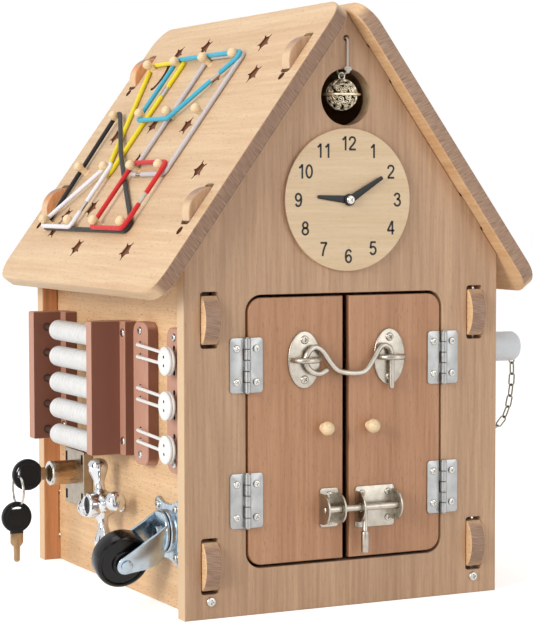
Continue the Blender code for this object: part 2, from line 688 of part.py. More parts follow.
def lacing():
    """A holed strip with a channel behind it, a button strip, and three buttons on one cord."""
    far = 8.7
    solid = wall_solid(0, 0)
    outer = rounded_box(43.0, 97.5, 69.0, 200.0, [8.0] * 4)
    channel = rounded_box(52.0, 109.0, 60.0, 190.0, (0, 0, 0, 0))
    holes = [circle(56.0, z, 2.3, 10) for pair in LACE_HOLES for z in pair]
    depth = 4.7
    solid.face(outer, holes, far)
    solid.face(channel, holes, depth)
    solid.face(outer, [channel], GAP)
    solid.wall(outer, GAP, outer, far)
    solid.wall(channel, GAP, channel, depth)
    for hole in holes:
        solid.wall(hole, depth, hole, far)
    make("loop_strip", solid.mesh, "brown wood")

    solid = wall_solid(0, 0)
    outer = rounded_box(102.0, 98.0, 128.5, 199.0, [8.0] * 4)
    sinks = [solid.rings(115.0, z + dz, ((2.0, far), (2.0, far - 3.0)), 8)
             for z in BUTTON_HEIGHTS for dz in (8.5, -8.5)]
    solid.face(outer, sinks, far)
    solid.face(outer, [], GAP)
    solid.wall(outer, GAP, outer, far)
    make("button_strip", solid.mesh, "brown wood")

    for k, z in enumerate(BUTTON_HEIGHTS):
        solid = wall_solid(BUTTON_Y, z)
        rim = circle(0, 0, BUTTON_RADIUS, 20)
        eyes = [circle(0, dz, 1.3, 8) for dz in (3.0, -3.0)]
        back, front = 13.5, 18.0
        shank = solid.rings(0, 0, ((1.5, back), (1.5, 9.2)), 8)
        floor = 15.6
        solid.face(rim, [shank], back)
        solid.face(rim, eyes, front)
        solid.wall(rim, back, rim, front)
        for eye in eyes:
            solid.wall(eye, floor, eye, front)
            solid.face(eye, [], floor)
        make(f"button_{k + 1}", solid.mesh, "white plastic", (-WALL_OUT, BUTTON_Y, z))

    inside = -WALL_OUT - 2.6
    turn = 3.8
    route = []
    for (top, low), z in zip(LACE_HOLES, BUTTON_HEIGHTS):
        round_shank = [(LACE_X, BUTTON_Y - turn * math.sin(a), z + turn * math.cos(a))
                       for a in (math.pi * k / 3 for k in range(4))]
        route += [(inside, -56.0, top), (LACE_X, -56.0, top)] + round_shank
        route += [(LACE_X, -56.0, low), (inside, -56.0, low)]
    make("button_elastic", tube(filleted(route, 1.6, 1), LACE_RADIUS, 6), "white cord")


def lock():
    """A cam lock with its case, turning core and key, and a spare key on a ring."""
    case = wall_solid(0, 0)
    outer = rounded_box(-96.0, 51.5, -57.0, 94.5, [2.0] * 4, 2)
    far = 8.0
    barrel = ((9.25, far), (9.25, 28.5), (8.6, 29.4))
    rim = circle(-LOCK_Y, LOCK_Z, barrel[0][0], 20)
    case.face(outer, [rim], far)
    case.face(outer, [], GAP)
    case.wall(outer, GAP, outer, far)
    bore = circle(-LOCK_Y, LOCK_Z, 6.3, 16)
    floor = 12.0
    loops = [circle(-LOCK_Y, LOCK_Z, r, 20) for r, _ in barrel]
    for k in range(2):
        case.wall(loops[k], barrel[k][1], loops[k + 1], barrel[k + 1][1])
    case.face(loops[-1], [bore], barrel[-1][1])
    case.wall(bore, floor, bore, barrel[-1][1])
    case.face(bore, [], floor)
    make("lock_case", case.mesh, "nickel")

    axis = (-WALL_OUT, LOCK_Y, LOCK_Z)
    core = wall_solid(LOCK_Y, LOCK_Z)
    rim = circle(0, 0, 5.9, 16)
    way = rounded_box(-1.3, -4.5, 1.3, 4.5, (0, 0, 0, 0))
    near, face = 12.4, 30.0
    core.face(rim, [], near)
    core.face(rim, [way], face)
    core.wall(rim, near, rim, face)
    core.wall(way, 14.5, way, face)
    core.face(way, [], 14.5)
    make("lock_core", core.mesh, "nickel", axis)

    flat = ((0, 0, 0), (1, 0, 0), (0, 0, 1), (0, -1, 0))
    bow_x, bow = -159.0, 12.0
    neck = math.degrees(math.asin(5.0 / bow))
    neck_x = -143.2
    outline = arc(bow_x, LOCK_Z, bow, neck, 360 - neck, 20)
    outline += [(neck_x, LOCK_Z - 5.0), (neck_x, LOCK_Z + 5.0)]
    slot = rounded_box(-168.0, 75.2, -165.0, 83.0, [1.2] * 4, 2)
    head = plate(outline, [slot], *flat, -LOCK_Y - 2.0, -LOCK_Y + 2.0)
    blade = rounded_box(-150.0, LOCK_Z - 4.1, -128.0, LOCK_Z + 4.1, (0, 0, 0, 0))
    fuse("lock_key", [head, plate(blade, [], *flat, -LOCK_Y - 1.0, -LOCK_Y + 1.0)], "black plastic", axis)

    x, z = -168.0, 45.2
    neck = math.degrees(math.asin(5.0 / 11.8))
    outline = arc(x, z, 11.8, -90 + neck, 270 - neck, 20) + [(x - 5.0, 27.0), (x + 5.0, 27.0)]
    slot = rounded_box(x - 4.5, 51.2, x + 4.5, 54.3, [1.2] * 4, 2)
    head = plate(outline, [slot], *flat, -LOCK_Y - 2.0, -LOCK_Y + 2.0)
    blade = [(x - 3.8, 34.0), (x - 3.8, 12.4), (x - 1.6, 10.8), (x + 3.8, 14.2), (x + 3.8, 34.0)]
    shank = plate(blade, [], *flat, -LOCK_Y - 1.0, -LOCK_Y + 1.0)
    ring_x, ring_z, ring_r = -166.5, 65.4, 11.6
    ring = tube([(ring_x, LOCK_Y + a, b) for a, b in circle(0, ring_z, ring_r, 20)], 0.7, 6, True)
    fuse("spare_key", [head, shank, ring], "black plastic", (ring_x, LOCK_Y, ring_z + ring_r))


def tap():
    """A wall boss and a four-armed tap handle that turns on it."""
    at = (-WALL_OUT, TAP_Y, TAP_Z)
    base = ((7.0, GAP), (7.0, 2.2), (5.6, 3.4), (5.6, 7.1))
    make("tap_base", turned(base, at, (-1, 0, 0), 16), "chrome")
    hub = ((4.8, 7.5), (7.4, 8.6), (9.2, 10.6), (9.2, 27.0), (8.2, 29.0), (5.6, 29.0), (5.6, 27.9))
    parts = [turned(hub, at, (-1, 0, 0), 20)]
    arm = ((4.3, 4.0), (3.6, 12.2), (4.3, 17.8), (6.9, 22.8), (7.4, 26.9), (5.7, 31.6), (0, 34.1))
    middle = (TAP_ARMS_X, TAP_Y, TAP_Z)
    for k in range(4):
        a = math.radians(90 * k) - TAP_TILT
        parts.append(turned(arm, middle, (0, math.cos(a), math.sin(a)), 10))
    fuse("tap_handle", parts, "chrome", middle)


def caster():
    """A swivel caster on its side: a lobed plate, a fork on a king pin, and a wheel."""
    solid = wall_solid(CASTER_Y, CASTER_Z)
    half_w, half_t, lobe, waist = 21.0, 23.0, 6.0, 4.0
    outer = []
    for sx, sy, start in ((1, -1, 270), (1, 1, 0), (-1, 1, 90), (-1, -1, 180)):
        outer += arc(sx * (half_w - lobe), sy * (half_t - lobe), lobe, start, start + 90, 3)
        side = 0 if start in (270, 90) else 1
        outer.append(((sx * (half_w - waist), 0), (0, sy * (half_t - waist)))[side])
    plate_far = GAP + 2.4
    race = ((15.5, plate_far), (15.5, 5.6), (6.0, 5.6), (4.0, 5.6), (4.0, 11.2), (2.6, 11.8))
    solid.face(outer, [solid.rings(0, 0, race, 20)], plate_far)
    solid.face(outer, [], GAP)
    solid.wall(outer, GAP, outer, plate_far)
    make("caster_plate", solid.mesh, "zinc")

    trail = Vector((0, math.sin(CASTER_TILT), -math.cos(CASTER_TILT)))
    axle = Vector((0, math.cos(CASTER_TILT), math.sin(CASTER_TILT)))
    at = Vector((-WALL_OUT, CASTER_Y, CASTER_Z))
    cup = ((4.4, 6.0), (13.5, 6.0), (15.0, 7.4), (15.0, 9.0), (4.4, 9.0))
    crown = turned(cup, at, (-1, 0, 0), 20, True)
    hub_h = -AXLE_X - WALL_OUT
    leg = [(7.5, -10.0), (9.0, -10.0), (16.0, -4.0)]
    leg += arc(hub_h, CASTER_TRAIL, 7.0, -60, 110, 8)
    leg += [(20.0, 23.0), (12.0, 20.0), (8.6, 15.0), (7.5, 14.0)]
    parts = [crown]
    for near, far in ((-12.0, -10.2), (10.2, 12.0)):
        parts.append(plate(leg, [], at, (-1, 0, 0), trail, axle, near, far))
    centre = at + Vector((-hub_h, 0, 0)) + trail * CASTER_TRAIL
    rivet = ((3.0, 12.4), (4.2, 12.6), (4.2, 13.6), (3.0, 14.0))
    ends = tuple((r, -d) for r, d in reversed(rivet)) + rivet
    parts.append(turned(ends, centre, axle, 12))
    fuse("caster_fork", parts, "zinc", tuple(at))
    rim = ((3.5, -8.5), (13.0, -8.5), (14.0, -7.2), (18.0, -7.2), (20.0, -4.6), (20.0, 4.6), (18.0, 7.2),
           (14.0, 7.2), (13.0, 8.5), (3.5, 8.5))
    make("caster_wheel", turned(rim, centre, axle, 24, True), "black plastic", tuple(centre))


def stopper():
    """A white stopper in a bore of the right wall, with a chain from its tip to the wall."""
    r = PLUG_RADIUS
    shape = ((r - 1.0, 0), (r, 1.5), (r, 66.0), (r - 1.2, 69.0), (r - 4.5, 70.4), (0, 70.8))
    at = (90.0, PLUG_Y, PLUG_Z)
    make("stopper_plug", turned(shape, at, (1, 0, 0), 20), "white plastic", at)
    route = [(157.5, PLUG_Y, 164.2), (157.6, PLUG_Y, 155.0), (156.5, PLUG_Y, 143.0), (153.6, PLUG_Y, 130.0),
             (148.0, PLUG_Y, 120.5), (140.0, PLUG_Y, 115.8), (130.0, PLUG_Y, 115.6), (121.0, PLUG_Y, 118.2),
             (113.4, PLUG_Y, 121.0)]
    anchor = turned(((4.5, GAP), (4.5, 1.4), (2.0, 2.4)), (WALL_OUT, PLUG_Y, 121.2), (1, 0, 0), 12)
    fuse("stopper_chain", [tube(smooth_route(route, 3), 1.5, 8), anchor], "nickel")


def peg(row, column, height, wrap=BAND_WRAP):
    return PEG_COLUMNS[column - 1], PEG_ROWS[row - 1], wrap, height


def band(name, stops, finish):
    """A closed elastic band round pegs, given in order (y, s, wrap radius, height over the roof)."""
    route = []
    count = len(stops)
    area = sum(stops[k][0] * stops[(k + 1) % count][1] - stops[(k + 1) % count][0] * stops[k][1]
               for k in range(count))
    hand = -1 if area > 0 else 1
    legs = []
    for k in range(count):
        a, b = stops[k], stops[(k + 1) % count]
        run = Vector((b[0] - a[0], b[1] - a[1]))
        along = run.normalized()
        out = Vector((-along.y, along.x)) * hand
        lean = (a[2] - b[2]) / run.length
        legs.append(along * lean + out * math.sqrt(1 - lean * lean))
    for k in range(count):
        y, s, wrap, height = stops[k]
        into, away = legs[k - 1], legs[k]
        if not wrap:
            route.append((y, s, height))
            continue
        turn = into.angle_signed(away)
        steps = math.ceil(abs(turn) / math.radians(32))
        for j in range(steps + 1):
            a = -turn * j / steps
            x = into.x * math.cos(a) - into.y * math.sin(a)
            z = into.x * math.sin(a) + into.y * math.cos(a)
            out = Vector((x, z))
            route.append((y + out.x * wrap, s + out.y * wrap, height))
    origin, u, v, w = [Vector(p) for p in roof_frame(-1)]
    points = [origin + u * y + v * s + w * h for y, s, h in route]
    make(name, tube(points, BAND_RADIUS, 8, True), finish)


def bands():
    low, high, top = 1.7, 4.5, 5.2
    band("yellow_band", [peg(1, 1, low), peg(1, 2, low), peg(3, 2, low)], "yellow band")
    band("cyan_band", [peg(1, 2, high), peg(1, 4, high), peg(2, 3, high), peg(2, 2, high)], "cyan band")
    band("grey_band", [peg(1, 3, low), peg(1, 4, low), peg(3, 4, low), peg(3, 3, low)], "grey band")
    band("white_band", [peg(3, 2, high), peg(4, 2, high), peg(4, 1, high)], "white band")
    band("red_band", [peg(3, 3, top), peg(3, 4, top), peg(4, 4, top), peg(4, 3, top)], "red band")
    over_yellow, under_red = (50.0, 147.0, 0, 4.5), (14.5, 170.4, 0, 2.4)
    stops = [peg(2, 1, high), over_yellow, under_red, peg(4, 4, low), peg(4, 1, low)]
    band("black_band", stops, "black band")


def build():
    clear_scene()
    panels()
    walls()
    roof_panel("left_roof_panel", -1, True)
    roof_panel("right_roof_panel", 1, False)
    doors()
    hinges()
    hook_latch()
    barrel_bolt()
    clock()
    bell()
    abacus()
    lacing()
    lock()
    tap()
    caster()
    stopper()
    bands()


build()
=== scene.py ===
import math

import bmesh
import bpy
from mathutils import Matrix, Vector
from mathutils.geometry import delaunay_2d_cdt


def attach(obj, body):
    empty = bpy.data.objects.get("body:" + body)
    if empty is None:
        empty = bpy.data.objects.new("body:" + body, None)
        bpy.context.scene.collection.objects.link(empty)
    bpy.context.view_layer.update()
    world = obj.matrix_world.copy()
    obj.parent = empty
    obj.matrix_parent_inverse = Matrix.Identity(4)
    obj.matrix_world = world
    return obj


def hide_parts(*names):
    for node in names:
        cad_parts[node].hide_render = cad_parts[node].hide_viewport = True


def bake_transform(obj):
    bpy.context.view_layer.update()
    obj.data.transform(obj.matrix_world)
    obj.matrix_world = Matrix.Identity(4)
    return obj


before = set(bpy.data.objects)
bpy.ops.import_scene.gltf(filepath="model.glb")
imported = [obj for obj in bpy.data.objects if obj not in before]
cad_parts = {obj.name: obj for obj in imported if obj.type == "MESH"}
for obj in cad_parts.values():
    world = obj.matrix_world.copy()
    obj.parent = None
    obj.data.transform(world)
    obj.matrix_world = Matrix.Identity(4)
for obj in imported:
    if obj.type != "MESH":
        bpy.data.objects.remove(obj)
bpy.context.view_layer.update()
mm = 0.001                                    # shapes are given in millimetres and meshes are in metres

# camera, lamps and floor

cameraSetup = {
    "yaw": 26.648,                            # degrees right of straight on
    "pitch": -3.495,
    "roll": -0.102,
    "focal": 2081.8 * 36.0 / 641,             # focal length on a 36 mm sensor, from pixels of the frame
    "place": (-704.0, -1419.2, 291.2),
}


def addCamera(setup):
    yaw, pitch, roll = (math.radians(setup[key]) for key in ("yaw", "pitch", "roll"))
    ahead = Vector((math.sin(yaw) * math.cos(pitch), math.cos(yaw) * math.cos(pitch), math.sin(pitch)))
    right = Vector((math.cos(yaw), -math.sin(yaw), 0))
    up = right.cross(ahead)
    right, up = right * math.cos(roll) + up * math.sin(roll), up * math.cos(roll) - right * math.sin(roll)
    data = bpy.data.cameras.new("camera")
    data.lens = setup["focal"]
    data.sensor_width = 36.0
    data.clip_end = 20.0
    camera = bpy.data.objects.new("camera", data)
    bpy.context.scene.collection.objects.link(camera)
    turn = camera.matrix_world.to_3x3()
    for row in range(3):
        turn[row][0], turn[row][1], turn[row][2] = right[row], up[row], -ahead[row]
    camera.matrix_world = turn.to_4x4()
    camera.location = Vector(setup["place"]) * mm
    bpy.context.scene.camera = camera


def addNode(tree, kind, inputs=None, **settings):
    node = tree.nodes.new("ShaderNode" + kind)
    for key, value in settings.items():
        setattr(node, key, value)
    for key, value in (inputs or {}).items():
        if isinstance(value, bpy.types.NodeSocket):
            tree.links.new(value, node.inputs[key])
        else:
            node.inputs[key].default_value = value
    return node


def calc(tree, operation, *values):
    return addNode(tree, "Math", dict(enumerate(values)), operation=operation).outputs[0]


# an sRGB hex code as a linear colour
def tone(code):
    parts = [int(code[k:k + 2], 16) / 255 for k in (0, 2, 4)]
    return tuple(p / 12.92 if p <= 0.04045 else ((p + 0.055) / 1.055) ** 2.4 for p in parts) + (1.0,)


lightSetup = {
    "ambient": 0.62,
    "lookAt": (0, 0, 0.2),
    "floor": (14.0, 0.8, 0.52),               # side in metres, paleness and the glow seen on top of it
    # name: place in metres, size, watts, colour
    "lamps": {
        "keyLamp": ((-2.5, -0.9, 1.05), 1.2, 47.0, (1.0, 0.985, 0.96)),
        "frontLamp": ((1.2, -2.5, 0.9), 1.6, 12.0, (1.0, 1.0, 1.0)),
        "topLamp": ((-0.4, 0.2, 2.6), 1.6, 11.0, (1.0, 1.0, 1.0)),
    },
    # dark cards that only show in polished metal: place, turn in degrees, width, height
    "cards": {
        "leftCard": ((-1.5, -0.15, 0.35), (90, 0, 78), 0.5, 1.6),
        "frontCard": ((-0.55, -1.9, 0.1), (90, 0, 10), 0.35, 1.5),
        "rightCard": ((1.2, -1.3, 0.5), (90, 0, -50), 0.6, 1.8),
        "lowCard": ((-0.6, -0.9, 0.02), (0, 0, 30), 1.1, 0.5),
    },
}


# 1 for the camera and for what metal and glass show, 0 for the light that falls on things
def seenByEye(tree):
    path = addNode(tree, "LightPath")
    seen = calc(tree, "MAXIMUM", path.outputs["Is Camera Ray"], path.outputs["Is Glossy Ray"])
    return calc(tree, "MAXIMUM", seen, path.outputs["Is Transmission Ray"])


def addSetting(setup):
    world = bpy.data.worlds.new("studio")
    bpy.context.scene.world = world
    world.use_nodes = True
    tree = world.node_tree
    tree.nodes.clear()
    level = addNode(tree, "Mix", {0: seenByEye(tree), 2: setup["ambient"], 3: 1.0}, data_type="FLOAT")
    air = addNode(tree, "Background", {"Color": (1, 1, 1, 1), "Strength": level.outputs[0]})
    out = addNode(tree, "OutputWorld")
    tree.links.new(air.outputs[0], out.inputs[0])
    for name, (place, size, watts, colour) in setup["lamps"].items():
        data = bpy.data.lights.new(name, "AREA")
        data.energy, data.size, data.color = watts, size, colour
        lamp = bpy.data.objects.new(name, data)
        lamp.location = place
        lamp.rotation_euler = (Vector(setup["lookAt"]) - Vector(place)).to_track_quat("-Z", "Y").to_euler()
        bpy.context.scene.collection.objects.link(lamp)
    side, pale, eyeGlow = setup["floor"]
    floorLook = bpy.data.materials.new("floorPaper")
    floorLook.use_nodes = True
    tree = floorLook.node_tree
    tree.nodes.clear()
    matt = addNode(tree, "BsdfDiffuse", {"Color": (pale, pale, pale, 1)})
    strength = calc(tree, "MULTIPLY", seenByEye(tree), eyeGlow)
    glow = addNode(tree, "Emission", {"Color": (1, 1, 1, 1), "Strength": strength})
    both = addNode(tree, "AddShader", {0: matt.outputs[0], 1: glow.outputs[0]})
    out = addNode(tree, "OutputMaterial")
    tree.links.new(both.outputs[0], out.inputs[0])
    addSheet("floor", floorLook, (0, 0, 0), (0, 0, 0), side, side)
    cardLook = bpy.data.materials.new("blackCard")
    cardLook.use_nodes = True
    shader = cardLook.node_tree.nodes["Principled BSDF"]
    shader.inputs["Base Color"].default_value = (0.01, 0.01, 0.01, 1)
    shader.inputs["Roughness"].default_value = 1.0
    for name, (place, turn, wide, tall) in setup["cards"].items():
        card = addSheet(name, cardLook, place, turn, wide, tall)
        card.visible_camera = card.visible_diffuse = card.visible_shadow = False
        card.visible_transmission = False


def addSheet(name, look, place, turn, wide, tall):
    mesh = bmesh.new()
    corners = [(-wide / 2, -tall / 2), (wide / 2, -tall / 2), (wide / 2, tall / 2), (-wide / 2, tall / 2)]
    mesh.faces.new([mesh.verts.new((x, y, 0)) for x, y in corners])
    data = bpy.data.meshes.new(name)
    mesh.to_mesh(data)
    mesh.free()
    data.materials.append(look)
    sheet = bpy.data.objects.new(name, data)
    sheet.location = place
    sheet.rotation_euler = [math.radians(a) for a in turn]
    bpy.context.scene.collection.objects.link(sheet)
    return sheet


bpy.context.scene.view_settings.view_transform = "Standard"
addCamera(cameraSetup)
addSetting(lightSetup)
print("camera, lamps and floor set")


# finishes

def blank(name):
    look = bpy.data.materials.new(name)
    look.use_nodes = True
    tree = look.node_tree
    return look, tree, tree.nodes["Principled BSDF"]


def spread(tree, value, low, high, newLow, newHigh):
    inputs = {"Value": value, "From Min": low, "From Max": high, "To Min": newLow, "To Max": newHigh}
    return addNode(tree, "MapRange", inputs).outputs[0]


def blendTones(tree, factor, first, second):
    return addNode(tree, "Mix", {0: factor, 6: first, 7: second}, data_type="RGBA").outputs[2]


def noise(tree, vector, scale, detail=2.0, rough=0.5):
    inputs = {"Vector": vector, "Scale": scale, "Detail": detail, "Roughness": rough}
    return addNode(tree, "TexNoise", inputs).outputs[0]


def inMillimetres(tree):
    coords = addNode(tree, "TexCoord")
    return addNode(tree, "VectorMath", {0: coords.outputs["Object"], 3: 1 / mm}, operation="SCALE").outputs[0]


def along(tree, vector, axis):
    return addNode(tree, "VectorMath", {0: vector, 1: tuple(axis)}, operation="DOT_PRODUCT").outputs[1]


def bump(tree, shader, height, strength, depth):
    node = addNode(tree, "Bump", {"Height": height, "Strength": strength, "Distance": depth * mm})
    tree.links.new(node.outputs[0], shader.inputs["Normal"])


# noise in a board: its stretch along the grain (not for the rings on sawn ends), scale, detail and roughness
boardNoise = {
    "broad": (0.035, 0.07, 3.0, 0.5), "streak": (0.04, 0.42, 5.0, 0.6), "hair": (0.06, 2.6, 3.0, 0.6),
    "dash": (0.16, 1.35, 1.0, 0.5), "rings": (1.25, 4.0, 0.7), "ringSlant": (0.18, 0.06),
    "staveShift": 470.0, "staveShade": (0.955, 1.04), "relief": (0.16, 0.25),
}


# oiled boards glued from staves: streaks and flecks along the grain, lines on the sawn ends.
# run is the way of the grain, across is over the staves, flank is a painted highlight on edges facing across
def wood(name, light, dark, run, across, stave=62.0, fleck=0.35, end=("A98871", "7E5F4B"), litFlank=None):
    look, tree, shader = blank(name)
    place = inMillimetres(tree)
    length = along(tree, place, run)
    side = along(tree, place, across)
    deep = along(tree, place, Vector(run).cross(Vector(across)))
    count = calc(tree, "FLOOR", calc(tree, "DIVIDE", calc(tree, "ADD", side, 1000.0), stave))
    luck = addNode(tree, "TexWhiteNoise", {1: count}, noise_dimensions="1D").outputs[0]
    shift = calc(tree, "MULTIPLY", luck, boardNoise["staveShift"])

    def drawn(kind):
        stretch, *texture = boardNoise[kind]
        slid = calc(tree, "ADD", calc(tree, "MULTIPLY", length, stretch), shift)
        return noise(tree, addNode(tree, "CombineXYZ", {0: side, 1: deep, 2: slid}).outputs[0], *texture)

    broad, streak, hair, dash = (drawn(kind) for kind in ("broad", "streak", "hair", "dash"))
    dashes = spread(tree, dash, 0.62, 0.72, 0.0, 1.0)
    mixed = calc(tree, "ADD", calc(tree, "MULTIPLY", broad, 0.4), calc(tree, "MULTIPLY", streak, 0.6))
    face = blendTones(tree, spread(tree, mixed, 0.36, 0.64, 0.0, 1.0), tone(dark), tone(light))
    face = blendTones(tree, spread(tree, hair, 0.3, 0.7, 0.16, 0.0), face, tone(dark))
    face = blendTones(tree, calc(tree, "MULTIPLY", dashes, fleck), face, tone(end[1]))
    shade = spread(tree, luck, 0.0, 1.0, *boardNoise["staveShade"])
    face = addNode(tree, "VectorMath", {0: face, 3: shade}, operation="SCALE").outputs[0]
    slant, depth = boardNoise["ringSlant"]
    ringSide = calc(tree, "ADD", side, calc(tree, "MULTIPLY", deep, slant))
    lines = addNode(tree, "CombineXYZ", {0: ringSide, 1: calc(tree, "MULTIPLY", deep, depth)}).outputs[0]
    rings = noise(tree, lines, *boardNoise["rings"])
    sawn = blendTones(tree, spread(tree, rings, 0.34, 0.66, 0.0, 1.0), tone(end[1]), tone(end[0]))
    normal = addNode(tree, "TexCoord").outputs["Normal"]
    endOn = calc(tree, "ABSOLUTE", along(tree, normal, run))
    colour = blendTones(tree, spread(tree, endOn, 0.6, 0.85, 0.0, 1.0), face, sawn)
    # painted light: edges that face across are made lighter, as sides lit by the lamp
    if litFlank:
        litEdgeOn = calc(tree, "ABSOLUTE", along(tree, normal, across))
        colour = blendTones(tree, spread(tree, litEdgeOn, 0.85, 0.97, 0.0, 0.8), colour, tone(litFlank))
    tree.links.new(colour, shader.inputs["Base Color"])
    tree.links.new(spread(tree, streak, 0.3, 0.7, 0.44, 0.58), shader.inputs["Roughness"])
    bump(tree, shader, calc(tree, "SUBTRACT", calc(tree, "ADD", hair, streak), dashes), *boardNoise["relief"])
    return look


def turnedWood(name, light, dark):
    look, tree, shader = blank(name)
    place = inMillimetres(tree)
    inputs = {"Vector": place, "Scale": 0.22, "Distortion": 3.0, "Detail": 2.0}
    rings = addNode(tree, "TexWave", inputs, wave_type="RINGS").outputs[1]
    pores = noise(tree, place, 2.2, 3.0)
    colour = blendTones(tree, calc(tree, "MULTIPLY", rings, 0.4), tone(light), tone(dark))
    colour = blendTones(tree, spread(tree, pores, 0.55, 0.75, 0.0, 0.3), colour, tone(dark))
    tree.links.new(colour, shader.inputs["Base Color"])
    shader.inputs["Roughness"].default_value = 0.42
    bump(tree, shader, pores, 0.1, 0.1)
    return look


# brown paint with the grain telegraphing through; sides that face along faceAxis are darker
def paint(name, face, edge, faceAxis=None):
    look, tree, shader = blank(name)
    place = inMillimetres(tree)
    flat = addNode(tree, "VectorMath", {0: place, 1: (1.0, 1.0, 0.08)}, operation="MULTIPLY").outputs[0]
    streak = noise(tree, flat, 0.9, 4.0)
    speck = noise(tree, place, 3.0, 2.0)
    colour = tone(edge)
    if faceAxis:
        coords = addNode(tree, "TexCoord")
        facing = calc(tree, "ABSOLUTE", along(tree, coords.outputs["Normal"], faceAxis))
        # the darker sides are partly two-tone paint and partly painted shade on sides turned from the lamp
        colour = blendTones(tree, spread(tree, facing, 0.75, 0.95, 0.0, 1.0), tone(edge), tone(face))
    colour = blendTones(tree, spread(tree, streak, 0.35, 0.7, 0.0, 0.22), colour, tone(face))
    tree.links.new(colour, shader.inputs["Base Color"])
    tree.links.new(spread(tree, speck, 0.3, 0.7, 0.42, 0.56), shader.inputs["Roughness"])
    bump(tree, shader, streak, 0.12, 0.15)
    return look


def burnt(name, light, dark):
    look, tree, shader = blank(name)
    grain = noise(tree, inMillimetres(tree), 0.9, 4.0, 0.7)
    tree.links.new(blendTones(tree, grain, tone(dark), tone(light)), shader.inputs["Base Color"])
    shader.inputs["Roughness"].default_value = 0.8
    bump(tree, shader, grain, 0.4, 0.3)
    return look


# plated metal: fine brush lines, faint stains and an uneven polish
def metal(name, colour, stain, rough, brush=(0.04, 1.0, 1.0), play=0.08, relief=0.04):
    look, tree, shader = blank(name)
    place = inMillimetres(tree)
    lines = addNode(tree, "VectorMath", {0: place, 1: brush}, operation="MULTIPLY").outputs[0]
    fine = noise(tree, lines, 5.0, 4.0, 0.7)
    cloud = noise(tree, place, 0.16, 3.0)
    colour = blendTones(tree, spread(tree, cloud, 0.4, 0.75, 0.0, 0.55), tone(colour), tone(stain))
    tree.links.new(colour, shader.inputs["Base Color"])
    polish = spread(tree, fine, 0.3, 0.7, rough - play / 2, rough + play / 2)
    tree.links.new(polish, shader.inputs["Roughness"])
    shader.inputs["Metallic"].default_value = 1.0
    bump(tree, shader, fine, relief, 0.1)
    return look


def plastic(name, colour, worn, rough, grit=1.2, relief=0.05, sheen=0.5):
    look, tree, shader = blank(name)
    place = inMillimetres(tree)
    cloud = noise(tree, place, 0.12, 3.0)
    fine = noise(tree, place, grit, 3.0)
    colour = blendTones(tree, spread(tree, cloud, 0.35, 0.75, 0.0, 0.5), tone(colour), tone(worn))
    tree.links.new(colour, shader.inputs["Base Color"])
    tree.links.new(spread(tree, fine, 0.3, 0.7, rough - 0.04, rough + 0.06), shader.inputs["Roughness"])
    shader.inputs["Specular IOR Level"].default_value = sheen
    bump(tree, shader, fine, relief, 0.1)
    return look


# braided elastic: slanting ridges from the tube's own UV, in millimetres along it
def woven(name, colour, shadow, pitch=0.9, strands=6.0):
    look, tree, shader = blank(name)
    coords = addNode(tree, "TexCoord")
    parts = addNode(tree, "SeparateXYZ", {0: coords.outputs["UV"]})
    around = calc(tree, "MULTIPLY", parts.outputs[0], strands * 2 * math.pi)
    length = calc(tree, "MULTIPLY", parts.outputs[1], 2 * math.pi / pitch)
    one = calc(tree, "SINE", calc(tree, "ADD", length, around))
    two = calc(tree, "SINE", calc(tree, "SUBTRACT", length, around))
    ridges = calc(tree, "MAXIMUM", one, two)
    fuzz = noise(tree, inMillimetres(tree), 4.0, 3.0)
    height = calc(tree, "ADD", ridges, fuzz)
    colour = blendTones(tree, spread(tree, height, -0.4, 1.2, 0.0, 1.0), tone(shadow), tone(colour))
    tree.links.new(colour, shader.inputs["Base Color"])
    shader.inputs["Roughness"].default_value = 0.72
    shader.inputs["Sheen Weight"].default_value = 0.15
    bump(tree, shader, height, 0.5, 0.18)
    return look


roofPitch = math.radians(53.8)
downLeft = (-math.cos(roofPitch), 0.0, -math.sin(roofPitch))
downRight = (math.cos(roofPitch), 0.0, -math.sin(roofPitch))
